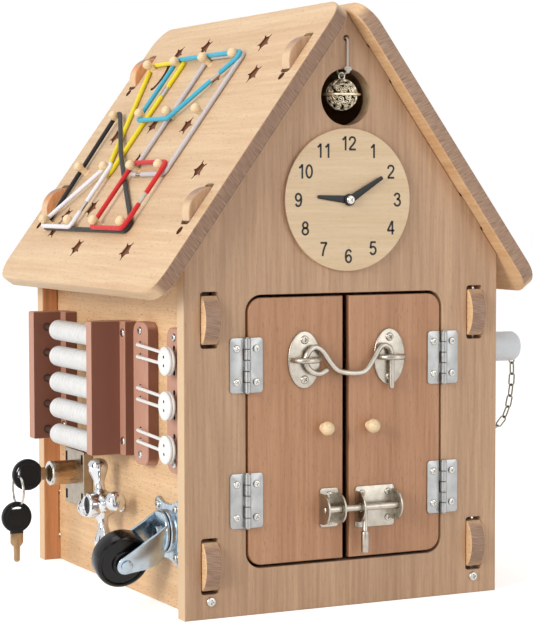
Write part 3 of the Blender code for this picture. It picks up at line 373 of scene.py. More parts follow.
# each finish with its sRGB codes, the main one first, and then the numbers of its kind
looks = {
    # panel and back take a lighter flank colour: painted light on their edges that face across
    "panel": wood("panelBeech", "C4A080", "A37F61", (0, 0, 1), (1, 0, 0), 71.0, 0.22, litFlank="DDC09B"),
    "back": wood("backBeech", "DE9C6C", "BE8152", (0, 0, 1), (1, 0, 0), 71.0, 0.22, litFlank="DDC09B"),
    "wall": wood("wallBeech", "EBC79A", "D5AB7E", (0, 1, 0), (0, 0, 1), 88.0, 0.6),
    "leftRoof": wood("leftRoofBeech", "D8BC98", "C5A07A", (0, 1, 0), downLeft, 66.0, 0.3,
                     ("A27F66", "684C3B")),
    "rightRoof": wood("rightRoofBeech", "DDB98F", "C99B6C", (0, 1, 0), downRight, 66.0, 0.3,
                      ("B4937A", "7A5C46")),
    "door": wood("doorBeech", "C0906E", "A47451", (0, 0, 1), (1, 0, 0), 44.0, 0.4),
    "floor": wood("floorBeech", "D3AC84", "B58A62", (0, 1, 0), (1, 0, 0), 60.0, 0.25),
    "dial": wood("dialPly", "DBC3A1", "CDB08B", (1, 0, 0), (0, 0, 1), 500.0, 0.12),
    "peg": turnedWood("pegBirch", "EBD2AB", "CFA878"),
    "brown": paint("brownPaint", "7E5040", "BD8B75", (0, 1, 0)),
    "strip": paint("stripPaint", "7E5040", "BF8D77", (0, 1, 0)),
    # the dark rod paint also fills holes, pockets and gaps as painted shade
    "rod": paint("rodPaintAndHoleShade", "3C2820", "4A3228"),
    # burnt wood for the carved stars, and painted shade in the roof's screw sinks
    "burnt": burnt("burntWoodAndSinkShade", "8A5532", "452313"),
    "white": plastic("whitePlastic", "E6E6E5", "DDDDDB", 0.32),
    "bead": plastic("beadPlastic", "DADAD9", "C9C9C8", 0.34),
    "plug": plastic("plugPlastic", "DCDFE3", "CDD1D6", 0.4),
    "black": plastic("blackPlastic", "171718", "0F0F10", 0.4, 2.0, 0.2, 0.25),
    "tyre": plastic("wheelPlastic", "0C0C0D", "060607", 0.16, 0.6, 0.03, 0.32),
    "ink": plastic("numeralInk", "17181A", "0E0F10", 0.55),
    "hand": plastic("handEnamel", "1B1C1E", "111213", 0.3, 1.2, 0.05, 0.3),
    "nickel": metal("brightNickel", "CFCDC8", "A8A49C", 0.24),
    "satin": metal("satinNickel", "BDB6AA", "8F877B", 0.3, (0.06, 1.0, 0.06), 0.12, 0.1),
    "leaf": metal("hingeNickel", "AEAFAE", "929392", 0.34, (1.0, 1.0, 0.03), 0.1, 0.06),
    "zinc": metal("zincPlate", "B9C8D4", "93A3AE", 0.25, (1.0, 0.05, 0.3)),
    "chrome": metal("tapChrome", "DADBDD", "C4C5C8", 0.06, (0.3, 0.3, 0.3), 0.03, 0.004),
    "lock": metal("lockNickel", "C7A988", "9A7C5E", 0.26, (0.05, 1.0, 1.0)),
    "lockPlate": metal("lockPlateNickel", "A99F90", "857A6B", 0.34, (1.0, 0.06, 0.06), 0.1, 0.08),
    "filigree": metal("bellBrass", "FFF7E0", "A8976C", 0.36, (1.0, 1.0, 1.0), 0.1, 0.1),
    # dark metal: painted shade for the bell's hollow inside, and the lock core's dark face
    "tarnish": metal("bellInside", "3A3224", "1E1A12", 0.5),
    "key": metal("keySteel", "B79A78", "8F7456", 0.3),
    "chain": metal("chainSteel", "9A9484", "5F5A4E", 0.3),
    "cord": woven("whiteCord", "F2F2F0", "CFCFCC", 0.8, 4.0),
    "twine": woven("bellTwine", "DAD5CC", "9B958A", 1.4, 2.0),
    "yellow": woven("yellowElastic", "F4E21B", "CDB400"),
    "cyan": woven("cyanElastic", "45B9D6", "1F86A6"),
    "grey": woven("greyElastic", "D0CACC", "A49DA0", 1.1),
    "whiteBand": woven("whiteElastic", "F0EEF3", "C9C5CE"),
    "red": woven("redElastic", "DC1F22", "9B0B10"),
    "blackBand": woven("blackElastic", "0D0D0F", "040405"),
}
print("finishes made")


# outlines and solids, in millimetres

def arc(cx, cy, radius, start, stop, steps):
    angles = [math.radians(start + (stop - start) * k / steps) for k in range(steps + 1)]
    return [(cx + radius * math.cos(a), cy + radius * math.sin(a)) for a in angles]


def circle(cx, cy, radius, sides=32):
    return arc(cx, cy, radius, 0, 360, sides)[:-1]


# corner radii from the lower left, anticlockwise
def roundedBox(x0, y0, x1, y1, radii, steps=8):
    corners = ((x0, y0, 1, 1, 180), (x1, y0, -1, 1, 270), (x1, y1, -1, -1, 0), (x0, y1, 1, -1, 90))
    loop = []
    for (cx, cy, sx, sy, start), r in zip(corners, radii):
        loop += arc(cx + sx * r, cy + sy * r, r, start, start + 90, steps) if r else [(cx, cy)]
    return loop


# points between a and b on an arc that stands proud on the right of a to b
def bulge(a, b, proud, steps=18):
    a, b = Vector(a), Vector(b)
    chord = (b - a).length
    radius = (chord * chord / 4 + proud * proud) / (2 * proud)
    run = (b - a).normalized()
    out = Vector((run.y, -run.x))
    centre = (a + b) / 2 + out * (proud - radius)
    half = math.asin(chord / 2 / radius)
    turns = [-half + 2 * half * k / steps for k in range(1, steps)]
    return [tuple(centre + radius * (run * math.sin(t) + out * math.cos(t))) for t in turns]


# Catmull-Rom points through a route or a profile
def fair(points, steps, closed=False):
    points = [Vector(p) for p in points]
    count = len(points)
    route = []
    for k in range(count if closed else count - 1):
        picks = [k - 1, k, k + 1, k + 2]
        a, b, c, d = [points[j % count] if closed else points[min(max(j, 0), count - 1)] for j in picks]
        for j in range(steps):
            t = j / steps
            route.append(0.5 * (2 * b + (c - a) * t + (2 * a - 5 * b + 4 * c - d) * t * t
                                + (3 * b - a - 3 * c + d) * t ** 3))
    return route if closed else route + [points[-1]]


def filleted(points, radius, steps=4):
    points = [Vector(p) for p in points]
    route = [points[0]]
    for a, b, c in zip(points, points[1:], points[2:]):
        into, away = a - b, c - b
        cut = min(radius, into.length / 2.1, away.length / 2.1)
        start, stop = b + into.normalized() * cut, b + away.normalized() * cut
        for k in range(steps + 1):
            t = k / steps
            route.append(start * (1 - t) ** 2 + b * 2 * t * (1 - t) + stop * t * t)
    return route + [points[-1]]


def at(place, x, y, height):
    origin, u, v, w = (Vector(part) for part in place)
    return (origin + u * x + v * y + w * height) * mm


# moves each side of a loop to its own left
def offsetLoop(loop, distance):
    moved = []
    for k, here in enumerate(loop):
        a, b, c = Vector(loop[k - 1]), Vector(here), Vector(loop[(k + 1) % len(loop)])
        into, away = (b - a).normalized(), (c - b).normalized()
        n, m = Vector((-into.y, into.x)), Vector((-away.y, away.x))
        moved.append(tuple(b + (n + m) * (distance / max(1 + n.dot(m), 0.35))))
    return moved


def wound(loop, anticlockwise):
    area = sum(loop[k - 1][0] * p[1] - p[0] * loop[k - 1][1] for k, p in enumerate(loop))
    return list(loop) if (area > 0) == anticlockwise else list(loop)[::-1]


def inside(loops, x, y):
    odd = False
    for loop in loops:
        for (ax, ay), (bx, by) in zip(loop, loop[1:] + loop[:1]):
            if (ay > y) != (by > y) and x < ax + (bx - ax) * (y - ay) / (by - ay):
                odd = not odd
    return odd


# a flat face between an outline and the holes in it
def fill(mesh, place, loops, height, paintIndex=0):
    spots, edges = [], []
    for loop in loops:
        first = len(spots)
        spots += [Vector(p) for p in loop]
        edges += [(first + k, first + (k + 1) % len(loop)) for k in range(len(loop))]
    spots, _, faces = delaunay_2d_cdt(spots, edges, [], 1, 1e-6)[:3]
    verts = [mesh.verts.new(at(place, p.x, p.y, height)) for p in spots]
    loops = [list(loop) for loop in loops]
    for corners in faces:
        middle = sum((spots[k] for k in corners), Vector((0, 0))) / len(corners)
        if inside(loops, middle.x, middle.y):
            mesh.faces.new([verts[k] for k in corners]).material_index = paintIndex


# walls between loops, each given with its height
def skirt(mesh, place, rings, paintIndex=0):
    rows = [[mesh.verts.new(at(place, x, y, h)) for x, y in loop] for loop, h in rings]
    for low, high in zip(rows, rows[1:]):
        for k in range(len(low)):
            j = (k + 1) % len(low)
            mesh.faces.new((low[k], low[j], high[j], high[k])).material_index = paintIndex


# a flat board with rounded edges, holes right through and shallow pockets in its upper face
def board(place, outer, low, high, holes=(), pockets=(), edge=1.0, holeEdge=0.4, steps=3, mesh=None):
    mesh = mesh or bmesh.new()
    turns = [math.pi / 2 * k / steps for k in range(steps + 1)]

    def rim(loop, r):
        top = [(offsetLoop(loop, r * (1 - math.sin(a))), high - r * (1 - math.cos(a))) for a in turns]
        return top + [(edgeLoop, low + high - h) for edgeLoop, h in reversed(top)]

    rims = [rim(wound(outer, True), edge)] + [rim(wound(hole, False), holeEdge) for hole in holes]
    for rings in rims:
        skirt(mesh, place, rings)
    cuts = [(wound(loop, False), depth) for loop, depth in pockets]
    fill(mesh, place, [rings[0][0] for rings in rims] + [loop for loop, _ in cuts], high)
    fill(mesh, place, [rings[-1][0] for rings in rims], low)
    for loop, depth in cuts:
        skirt(mesh, place, [(loop, high), (loop, high - depth)], 1)
        fill(mesh, place, [loop], high - depth, 1)
    return mesh


# turns (radius, distance along the axis) round an axis
def spin(mesh, profile, origin, axis, sides=32, bored=False, paintIndex=0):
    ahead = Vector(axis).normalized()
    side = Vector((0, 0, 1)) if abs(ahead.z) < 0.9 else Vector((1, 0, 0))
    u = ahead.cross(side).normalized()
    v = ahead.cross(u)
    rings = []
    for r, d in profile:
        centre = Vector(origin) + ahead * d
        if r <= 0:
            rings.append([mesh.verts.new(centre * mm)])
            continue
        spots = [(centre + (u * x + v * y)) * mm for x, y in circle(0, 0, r, sides)]
        rings.append([mesh.verts.new(p) for p in spots])
    pairs = list(zip(rings, rings[1:])) + ([(rings[-1], rings[0])] if bored else [])
    for a, b in pairs:
        for k in range(sides):
            j = (k + 1) % sides
            corners = dict.fromkeys([a[k % len(a)], a[j % len(a)], b[j % len(b)], b[k % len(b)]])
            mesh.faces.new(list(corners)).material_index = paintIndex
    for ring in ([] if bored else [rings[0], rings[-1]]):
        if len(ring) > 1:
            mesh.faces.new(ring).material_index = paintIndex
    return mesh


tubeEnd = (0.55, 1.05, 1.4)                   # angles of the rings that round off a tube's end


# a round tube along a route, with rounded ends and UVs that run round it and along it
def tube(mesh, points, radius, sides=12, closed=False, paintIndex=0):
    points = [Vector(p) for p in points]
    radii = [radius] * len(points)
    if not closed:
        for end, beyond in ((0, points[0] - points[1]), (-1, points[-1] - points[-2])):
            step = beyond.normalized() * radius
            grown = [(points[end] + step * math.sin(a), radius * math.cos(a)) for a in tubeEnd]
            if end:
                points += [p for p, _ in grown]
                radii += [r for _, r in grown]
            else:
                points = [p for p, _ in reversed(grown)] + points
                radii = [r for _, r in reversed(grown)] + radii
    uv = mesh.loops.layers.uv.verify()
    count = len(points)
    normal, length, rings, marks = None, 0.0, [], []
    for k, p in enumerate(points):
        before = points[k - 1] if closed or k else p
        after = points[(k + 1) % count] if closed or k < count - 1 else p
        ahead = (after - before).normalized()
        if normal is None:
            normal = ahead.cross(Vector((0, 0, 1)) if abs(ahead.z) < 0.9 else Vector((1, 0, 0)))
        normal = (normal - ahead * normal.dot(ahead)).normalized()
        other = ahead.cross(normal)
        spots = [(p + normal * x + other * y) * mm for x, y in circle(0, 0, radii[k], sides)]
        rings.append([mesh.verts.new(spot) for spot in spots])
        length += (p - points[k - 1]).length if k else 0.0
        marks.append(length)
    rows = [(rings[k], rings[k + 1], marks[k], marks[k + 1], 0) for k in range(count - 1)]
    if closed:
        first, last = rings[0], rings[-1]     # the last ring joins the first with the least twist
        gaps = [sum((last[j].co - first[(j + slip) % sides].co).length for j in range(sides))
                for slip in range(sides)]
        rows.append((last, first, length, length + (points[0] - points[-1]).length, gaps.index(min(gaps))))
    for low, high, start, stop, slip in rows:
        for j in range(sides):
            i = (j + 1) % sides
            face = mesh.faces.new((low[j], low[i], high[(i + slip) % sides], high[(j + slip) % sides]))
            face.material_index = paintIndex
            for loop, spot in zip(face.loops, ((j, start), (j + 1, start), (j + 1, stop), (j, stop))):
                loop[uv].uv = (spot[0] / sides, spot[1])
    if not closed:
        for ring in (rings[0], rings[-1]):
            mesh.faces.new(ring).material_index = paintIndex
    return mesh


# a screw's head in parts of its radius, and the count of its sides
screwShape = {
    "dome": ((1.0, 0.0), (0.97, 0.2), (0.86, 0.38), (0.72, 0.46)), "sides": 20,
    "arm": 0.52, "slot": 0.13, "deep": 0.42,
}


# a cross-head screw standing on a surface, with its cross sunk into the head
def screw(mesh, place, x, y, height, radius, turn=0.0, paintIndex=0):
    sides, arm, slot = (screwShape[key] for key in ("sides", "arm", "slot"))
    dome = [(circle(x, y, radius * r, sides), height + radius * h) for r, h in screwShape["dome"]]
    skirt(mesh, place, dome, paintIndex)
    top = dome[-1][1]
    cross = []
    for k in range(4):
        a = math.radians(turn + 90 * k)
        for reach, aside in ((arm, -slot), (arm, slot), (slot, slot)):
            px, py = reach * radius, aside * radius
            cross.append((x + px * math.cos(a) - py * math.sin(a), y + px * math.sin(a) + py * math.cos(a)))
    fill(mesh, place, [dome[-1][0], wound(cross, False)], top, paintIndex)
    floor = top - screwShape["deep"] * radius
    skirt(mesh, place, [(cross, top), (cross, floor)], paintIndex)
    fill(mesh, place, [cross], floor, paintIndex)


# puts a mesh in the scene as one piece that rides on a CAD body
def add(name, mesh, look, body, nodes=(), sharp=38, weighted=False):
    bmesh.ops.remove_doubles(mesh, verts=mesh.verts, dist=0.002 * mm)
    bmesh.ops.recalc_face_normals(mesh, faces=mesh.faces)
    data = bpy.data.meshes.new(name)
    mesh.to_mesh(data)
    mesh.free()
    for key in ([look] if isinstance(look, str) else look):
        data.materials.append(looks[key])
    data.shade_smooth()
    data.set_sharp_from_angle(angle=math.radians(sharp))
    thing = bpy.data.objects.new(name, data)
    bpy.context.scene.collection.objects.link(thing)
    if weighted:
        thing.modifiers.new("flatFaces", "WEIGHTED_NORMAL").keep_sharp = True
    if body:
        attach(thing, body)
    if nodes:
        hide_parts(*([nodes] if isinstance(nodes, str) else nodes))
    return thing


# the house boards

house = {
    "face": -141.0, "back": 141.0, "board": 12.0, "half": 125.0, "gap": 0.3,
    "wallIn": 100.0, "wallOut": 112.0, "wallTop": 262.0, "wallEnd": 128.7,
    "slotX": 106.0, "slotHeights": (36.4, 205.2), "slotLong": 38.5, "slotPlay": 0.6, "slotCorner": 2.2,
    "tabChord": 33.0, "tabProud": 7.0,
    "opening": (-78.6, 32.3, 78.6, 221.6), "openingCorner": 12.0,
    "bellHole": (0, 358.2, 19.7), "cordHole": (0, 399.1, 2.0), "plugHole": (-112.0, 177.0, 11.4),
    "panelEdges": (0.9, 0.7), "wallEdge": 1.1, "floorEdge": 0.6,
    "footScrews": (105.5, 12.1, 3.5), "footTurns": (8, 30),
}
roof = {
    "ridge": 437.4, "thick": 11.3, "half": 155.0, "top": 15.5, "eave": 262.5, "corner": 20.0,
    "tabs": (60.5, 189.6), "tabChord": 28.5, "tabProud": 7.0,
    "slotLong": 34.0, "slotPlay": 0.5, "slotCorner": 2.4, "edges": (1.6, 0.6),
    "screws": (135.0, (81.0, 212.0), 3.3, 1.8),
}
# places are an origin, the two ways in the plane and the way out of it
levelPlace = ((0, 0, 0), (1, 0, 0), (0, 1, 0), (0, 0, 1))
frontPlace = ((0, house["face"], 0), (1, 0, 0), (0, 0, 1), (0, -1, 0))
backPlace = ((0, house["back"], 0), (-1, 0, 0), (0, 0, 1), (0, 1, 0))
leftPlace = ((-house["wallOut"], 0, 0), (0, -1, 0), (0, 0, 1), (-1, 0, 0))
rightPlace = ((house["wallOut"], 0, 0), (0, 1, 0), (0, 0, 1), (1, 0, 0))
ridge = (0, 0, roof["ridge"])
leftRoofPlace = (ridge, (0, 1, 0), downLeft, (-math.sin(roofPitch), 0, math.cos(roofPitch)))
rightRoofPlace = (ridge, (0, -1, 0), downRight, (math.sin(roofPitch), 0, math.cos(roofPitch)))


def slopePoint(s, lift):
    return (-s * math.cos(roofPitch) - lift * math.sin(roofPitch),
            roof["ridge"] - s * math.sin(roofPitch) + lift * math.cos(roofPitch))


# the panel's outline, with a half-moon tab for each roof slot
def gable():
    under = -roof["thick"] - house["gap"]
    half = house["half"]
    left = []
    for s in roof["tabs"]:
        low, high = s - roof["tabChord"] / 2, s + roof["tabChord"] / 2
        moon = bulge(slopePoint(low, 0), slopePoint(high, 0), roof["tabProud"])
        left += [slopePoint(low, under), slopePoint(low, 0)] + moon
        left += [slopePoint(high, 0), slopePoint(high, under)]
    drop = under / math.cos(roofPitch)
    left.append((-half, roof["ridge"] + drop - half * math.tan(roofPitch)))
    right = [(-x, z) for x, z in reversed(left)]
    return [(-half, 0.0), (half, 0.0)] + right + [(0.0, roof["ridge"] + drop)] + left


def wallSlots():
    wide, tall = house["board"] / 2 + house["slotPlay"], house["slotLong"] / 2
    return [roundedBox(x - wide, z - tall, x + wide, z + tall, [house["slotCorner"]] * 4, 5)
            for x in (-house["slotX"], house["slotX"]) for z in house["slotHeights"]]


def wallOutline():
    end, back = house["wallEnd"], house["back"]
    loop = [(-end, 0.0), (end, 0.0)]
    heights = [(z - house["tabChord"] / 2, z + house["tabChord"] / 2) for z in house["slotHeights"]]
    for low, high in heights:
        loop += [(end, low), (back, low)] + bulge((back, low), (back, high), house["tabProud"])
        loop += [(back, high), (end, high)]
    loop += [(end, house["wallTop"]), (-end, house["wallTop"])]
    for low, high in reversed(heights):
        loop += [(-end, high), (-back, high)] + bulge((-back, high), (-back, low), house["tabProud"])
        loop += [(-back, low), (-end, low)]
    return loop


def houseBoards():
    slots, thick = wallSlots(), -house["board"]
    opening = roundedBox(*house["opening"], [house["openingCorner"]] * 4, 12)
    holes = slots + [opening, circle(*house["bellHole"], 64), circle(*house["cordHole"], 20)]
    edge, holeEdge = house["panelEdges"]
    for name, place, cuts, look, node in (("frontPanel", frontPlace, holes, "panel", "front_panel"),
                                          ("backPanel", backPlace, slots, "back", "back_panel")):
        panel = board(place, gable(), thick, 0, cuts, edge=edge, holeEdge=holeEdge)
        add(name, panel, look, "house", node, weighted=True)
    outline, edge = wallOutline(), house["wallEdge"]
    inward = ((0, 0, 0), (0, 1, 0), (0, 0, 1), (-1, 0, 0))
    leftWall = board(inward, outline, house["wallIn"], house["wallOut"], edge=edge)
    add("leftWall", leftWall, "wall", "house", "left_wall", weighted=True)
    rightWall = board(rightPlace, outline, thick, 0, [circle(*house["plugHole"], 40)], edge=edge)
    add("rightWall", rightWall, "wall", "house", "right_wall", weighted=True)
    inside, end = house["wallIn"] - house["gap"], house["wallEnd"]
    outline = roundedBox(-inside, -end, inside, end, [0] * 4)
    floor = board(levelPlace, outline, 0, house["board"], edge=house["floorEdge"])
    add("floorBoard", floor, "floor", "house", "floor_board", weighted=True)
    screws = bmesh.new()
    x, z, r = house["footScrews"]
    for place, turn in zip((frontPlace, backPlace), house["footTurns"]):
        for side in (-1, 1):
            screw(screws, place, side * x, z, 0.0, r, turn * side)
    add("footScrews", screws, "nickel", "house")


starShape = {"body": (4.5, 2.3), "root": (5.5, 1.0), "tip": (8.2, 0.55), "end": 8.6, "deep": 1.6}
stars = (
    (36.8, 42.6, 0), (-67.7, 46.1, 20), (-85.3, 75.5, 5), (84.0, 46.0, 30), (-23.5, 74.7, 12),
    (-27.8, 120.0, 40), (36.8, 116.8, 8), (98.4, 125.8, 25), (-101.1, 160.6, 0), (21.4, 150.7, 15),
    (48.7, 194.5, 33), (91.0, 202.4, 5), (95.3, 215.8, 48), (26.8, 230.4, 10), (-67.9, 230.9, 22),
)
moonShape = {"centre": (89.0, 67.6), "reach": 13.6, "bite": 11.2, "shift": 6.5, "narrow": 0.55, "deep": 1.6}
pegShape = {
    "columns": (109.3, 57.5, 5.7, -46.1), "rows": (60.8, 110.9, 161.0, 211.2),
    "profile": ((2.9, 0.0), (2.5, 0.4), (2.4, 4.4), (2.5, 5.0), (3.0, 5.8), (3.5, 6.9), (3.6, 8.1),
                (3.5, 9.4), (3.0, 10.5), (2.0, 11.2), (0.9, 11.5), (0, 11.55)),
}


def starLoop(y, s, turn):
    arm = [(far, -aside) for far, aside in (starShape["body"], starShape["root"], starShape["tip"])]
    arm += [(starShape["end"], 0.0)] + [(far, -aside) for far, aside in reversed(arm)]
    turns = [math.radians(turn + 72 * k) for k in range(5)]
    return [(y + far * math.cos(a) - aside * math.sin(a), s + far * math.sin(a) + aside * math.cos(a))
            for a in turns for far, aside in arm]


# a crescent: the far arc of one circle and the near arc of a smaller one
def moonLoop():
    (y, s), reach, bite, shift = (moonShape[key] for key in ("centre", "reach", "bite", "shift"))
    x = (shift * shift + reach * reach - bite * bite) / (2 * shift)
    outerTurn = math.degrees(math.acos(x / reach))
    innerTurn = math.degrees(math.acos((x - shift) / bite))
    far = arc(0, 0, reach, outerTurn, 360 - outerTurn, 26)
    near = arc(shift, 0, bite, 360 - innerTurn, innerTurn, 20)
    return [(y + a * moonShape["narrow"], s + b) for a, b in far + near[1:-1]]


def roofBoards():
    outer = roundedBox(-roof["half"], roof["top"], roof["half"], roof["eave"], [roof["corner"]] * 4, 12)
    wide, long = house["board"] / 2 + roof["slotPlay"], roof["slotLong"] / 2
    middle = house["back"] - house["board"] / 2
    slots = [roundedBox(y - wide, s - long, y + wide, s + long, [roof["slotCorner"]] * 4, 5)
             for y in (-middle, middle) for s in roof["tabs"]]
    y, heights, r, deep = roof["screws"]
    # the screw sinks take the dark burnt colour: painted shade in the holes
    sinks = [(circle(side * y, s, r, 20), deep) for side in (-1, 1) for s in heights]
    carved = [(starLoop(*star), starShape["deep"]) for star in stars] + [(moonLoop(), moonShape["deep"])]
    edge, holeEdge = roof["edges"]
    for side, place, pockets in (("left", leftRoofPlace, sinks + carved), ("right", rightRoofPlace, sinks)):
        mesh = board(place, outer, -roof["thick"], 0, slots, pockets, edge=edge, holeEdge=holeEdge)
        add(side + "RoofBoard", mesh, (side + "Roof", "burnt"), "house", side + "_roof_panel",
            weighted=True)
    pegs = bmesh.new()
    for y in pegShape["columns"]:
        for s in pegShape["rows"]:
            spin(pegs, pegShape["profile"], at(leftRoofPlace, y, s, 0) / mm, leftRoofPlace[3], 24)
    add("roofPegs", pegs, "peg", "house")


houseBoards()
roofBoards()
print("house and roof boards made")


# the doors, their knobs and hinges

door = {
    "edge": 76.6, "meet": 2.6, "low": 34.3, "high": 219.6, "thick": 6.0, "corner": 10.0, "rounding": 1.1,
    "knobAt": (18.35, 127.4),
    "knob": ((3.2, 0.3), (2.4, 1.6), (2.6, 2.4), (4.3, 3.9), (5.0, 6.4), (4.3, 9.0), (2.3, 10.9), (0, 11.5)),
}
hinge = {
    "pinX": 78.6, "pinHeight": 2.8, "pinDome": ((1.7, 0), (1.5, 0.5), (0.9, 0.8), (0, 0.9)),
    "heights": {"upper": 173.5, "lower": 80.0}, "tall": 38.0, "wide": 12.6, "leaf": (0.3, 1.2), "edge": 0.25,
    "knuckle": 2.4, "bevel": 0.3, "gap": 0.3, "corner": 2.5, "tongue": 0.6, "clear": 0.5,
    "screws": (7.5, 11.5, 2.7), "turns": (25, 8),
}


def doors():
    r = door["corner"]
    for side, name, radii in ((-1, "left", (r, 0, 0, r)), (1, "right", (0, r, r, 0))):
        x0, x1 = sorted((side * door["edge"], side * door["meet"]))
        outline = roundedBox(x0, door["low"], x1, door["high"], radii)
        body = name + "_door"
        mesh = board(frontPlace, outline, -door["thick"], 0, edge=door["rounding"])
        add(name + "Door", mesh, "door", body, body, weighted=True)
        x, z = door["knobAt"]
        knob = spin(bmesh.new(), fair(door["knob"], 4), (side * x, house["face"], z), frontPlace[3], 32)
        add(name + "Knob", knob, "peg", body, body + "_knob")


# one leaf of a butt hinge: the frame leaf has three knuckles and the pin, the door leaf two
def hingeLeaf(name, side, middle, onDoor):
    tall, radius, step = hinge["tall"], hinge["knuckle"], hinge["tall"] / 5
    low, slit = middle - tall / 2, hinge["gap"] / 2
    mine = (1, 3) if onDoor else (0, 2, 4)
    inner = []
    for k in range(5):
        x = hinge["tongue"] if k in mine else radius + hinge["clear"]
        trim = slit if k in mine else -slit
        inner.append((x, low + k * step + (trim if k else 0)))
        inner.append((x, low + (k + 1) * step - (trim if k < 4 else 0)))
    r, wide = hinge["corner"], hinge["wide"]
    outer = arc(wide - r, low + tall - r, r, 90, 0, 6) + arc(wide - r, low + r, r, 0, -90, 6)
    way = -side if onDoor else side
    place = ((side * hinge["pinX"], house["face"], 0), (way, 0, 0), (0, 0, 1), (0, -1, 0))
    mesh = board(place, inner + outer, *hinge["leaf"], edge=hinge["edge"], steps=2)
    pin = (side * hinge["pinX"], house["face"] - hinge["pinHeight"], low)
    cut = hinge["bevel"]
    for k in mine:
        a, b = k * step + slit, (k + 1) * step - slit
        knuckle = ((0, a), (radius - cut, a), (radius, a + cut), (radius, b - cut), (radius - cut, b), (0, b))
        spin(mesh, knuckle, pin, (0, 0, 1), 20)
    if not onDoor:
        for start, way in ((tall - slit, 1), (slit, -1)):
            top = (pin[0], pin[1], pin[2] + start)
            spin(mesh, hinge["pinDome"], top, (0, 0, way), 16)
    x, z, head = hinge["screws"]
    turn, more = hinge["turns"]
    for k in (-1, 1):
        screw(mesh, place, x, middle + k * z, hinge["leaf"][1], head, turn * k + more * side, 1)
    words = name.split("_")
    piece = words[0] + words[1].title() + ("DoorLeaf" if onDoor else "FrameLeaf")
    add(piece, mesh, ("leaf", "nickel"), words[0] + "_door" if onDoor else "house", name)


def hinges():
    for side, word in ((-1, "left"), (1, "right")):
        for height, z in hinge["heights"].items():
            hingeLeaf(f"{word}_{height}_hinge_frame_leaf", side, z, False)
            hingeLeaf(f"{word}_{height}_hinge_door_leaf", side, z, True)


# the hook with its two staples, and the barrel bolt

hook = {
    "x": 34.0, "z": 175.8, "height": 5.2, "wire": 2.0, "oval": (12.5, 20.0), "plate": (0.3, 1.9), "edge": 0.7,
    "staple": 9.5, "crown": 3.0, "foot": 1.5, "screws": (13.9, 3.1, 0.1), "turns": (15, 20),
    "path": ((-18.5, 168.0), (-24.0, 165.8), (-30.0, 167.5), (-34.5, 173.0), (-33.5, 180.0), (-28.0, 184.5),
             (-21.5, 181.5), (-15.0, 173.0), (-9.0, 167.5), (0.0, 165.5), (9.0, 165.5), (14.0, 168.0),
             (20.0, 176.0), (25.0, 183.0), (30.0, 183.5), (33.5, 178.0), (33.8, 154.8)),
}
bolt = {
    "z": 70.5, "height": 8.2, "start": -22.3, "leverX": 10.7,
    "rod": ((0, 0), (1.9, 0), (2.5, 0.6), (2.5, 61.7), (1.9, 62.3), (0, 62.3)),
    "lever": ((1.75, 1.0), (1.75, 16.3), (2.0, 16.8), (2.7, 17.3), (2.85, 17.8), (2.85, 31.2), (2.5, 31.9),
              (1.9, 32.2), (0, 32.2)),
    "keeper": (-21.5, -7.2, 57.4, 84.9), "case": (6.8, 38.1, 55.1, 84.5), "plate": (0.3, 1.5), "corner": 2.0,
    # half width, thickness, where the round part starts, height and bore
    "flange": (11.0, 1.4, 4.0, 15.0, 3.05), "foot": 1.0, "trim": 0.05, "edges": (0.35, 0.2),
    "caseScrews": ((12.0, 79.5), (33.0, 79.5), (12.0, 61.0), (33.0, 61.0)),
    "keeperScrews": ((-14.3, 80.0), (-14.3, 61.5)), "head": 2.6, "turns": (20, 50),
}


def hookLatch():
    wide, tall = hook["oval"]
    for side, word in ((-1, "left"), (1, "right")):
        x, z = side * hook["x"], hook["z"]
        oval = [(x + wide * a, z + tall * b) for a, b in circle(0, 0, 1, 48)]
        mesh = board(frontPlace, oval, *hook["plate"], edge=hook["edge"])
        staple, foot = hook["staple"], hook["foot"]
        route = [(x - staple, foot)] + arc(x, hook["crown"], staple, 180, 0, 20) + [(x + staple, foot)]
        tube(mesh, [(px, house["face"] - h, z) for px, h in route], hook["wire"], 16)
        drop, head, sunk = hook["screws"]
        turn, more = hook["turns"]
        for k in (-1, 1):
            screw(mesh, frontPlace, x, z + k * drop, hook["plate"][1] - sunk, head, turn * k + more * side)
        add(word + "HookPlate", mesh, "satin", word + "_door", word + "_hook_plate")
    route = fair([(x, house["face"] - hook["height"], z) for x, z in hook["path"]], 6)
    add("hookWire", tube(bmesh.new(), route, hook["wire"], 16), "satin", "hook", "hook")


# a bent plate with a round-topped flange at each end
def boltBracket(name, box, screws, body, node):
    x0, x1, z0, z1 = box
    edge, boreEdge = bolt["edges"]
    mesh = board(frontPlace, roundedBox(x0, z0, x1, z1, [bolt["corner"]] * 4, 4), *bolt["plate"], edge=edge)
    half, thick, root, proud, bore = bolt["flange"]
    turns = [math.pi * k / 24 for k in range(25)]
    crown = [(half * math.cos(a), root + (proud - root) * math.sin(a)) for a in turns]
    outline = [(half, bolt["foot"])] + crown + [(-half, bolt["foot"])]
    eye, trim = circle(0, bolt["height"], bore, 24), bolt["trim"]
    for x in (x0, x1 - thick):
        place = ((x, house["face"], bolt["z"]), (0, 0, 1), (0, -1, 0), (1, 0, 0))
        board(place, outline, trim, thick - trim, [eye], edge=edge, holeEdge=boreEdge, mesh=mesh)
    turn, more = bolt["turns"]
    for k, (x, z) in enumerate(screws):
        screw(mesh, frontPlace, x, z, bolt["plate"][1], bolt["head"], turn + more * k)
    add(name, mesh, "satin", body, node)


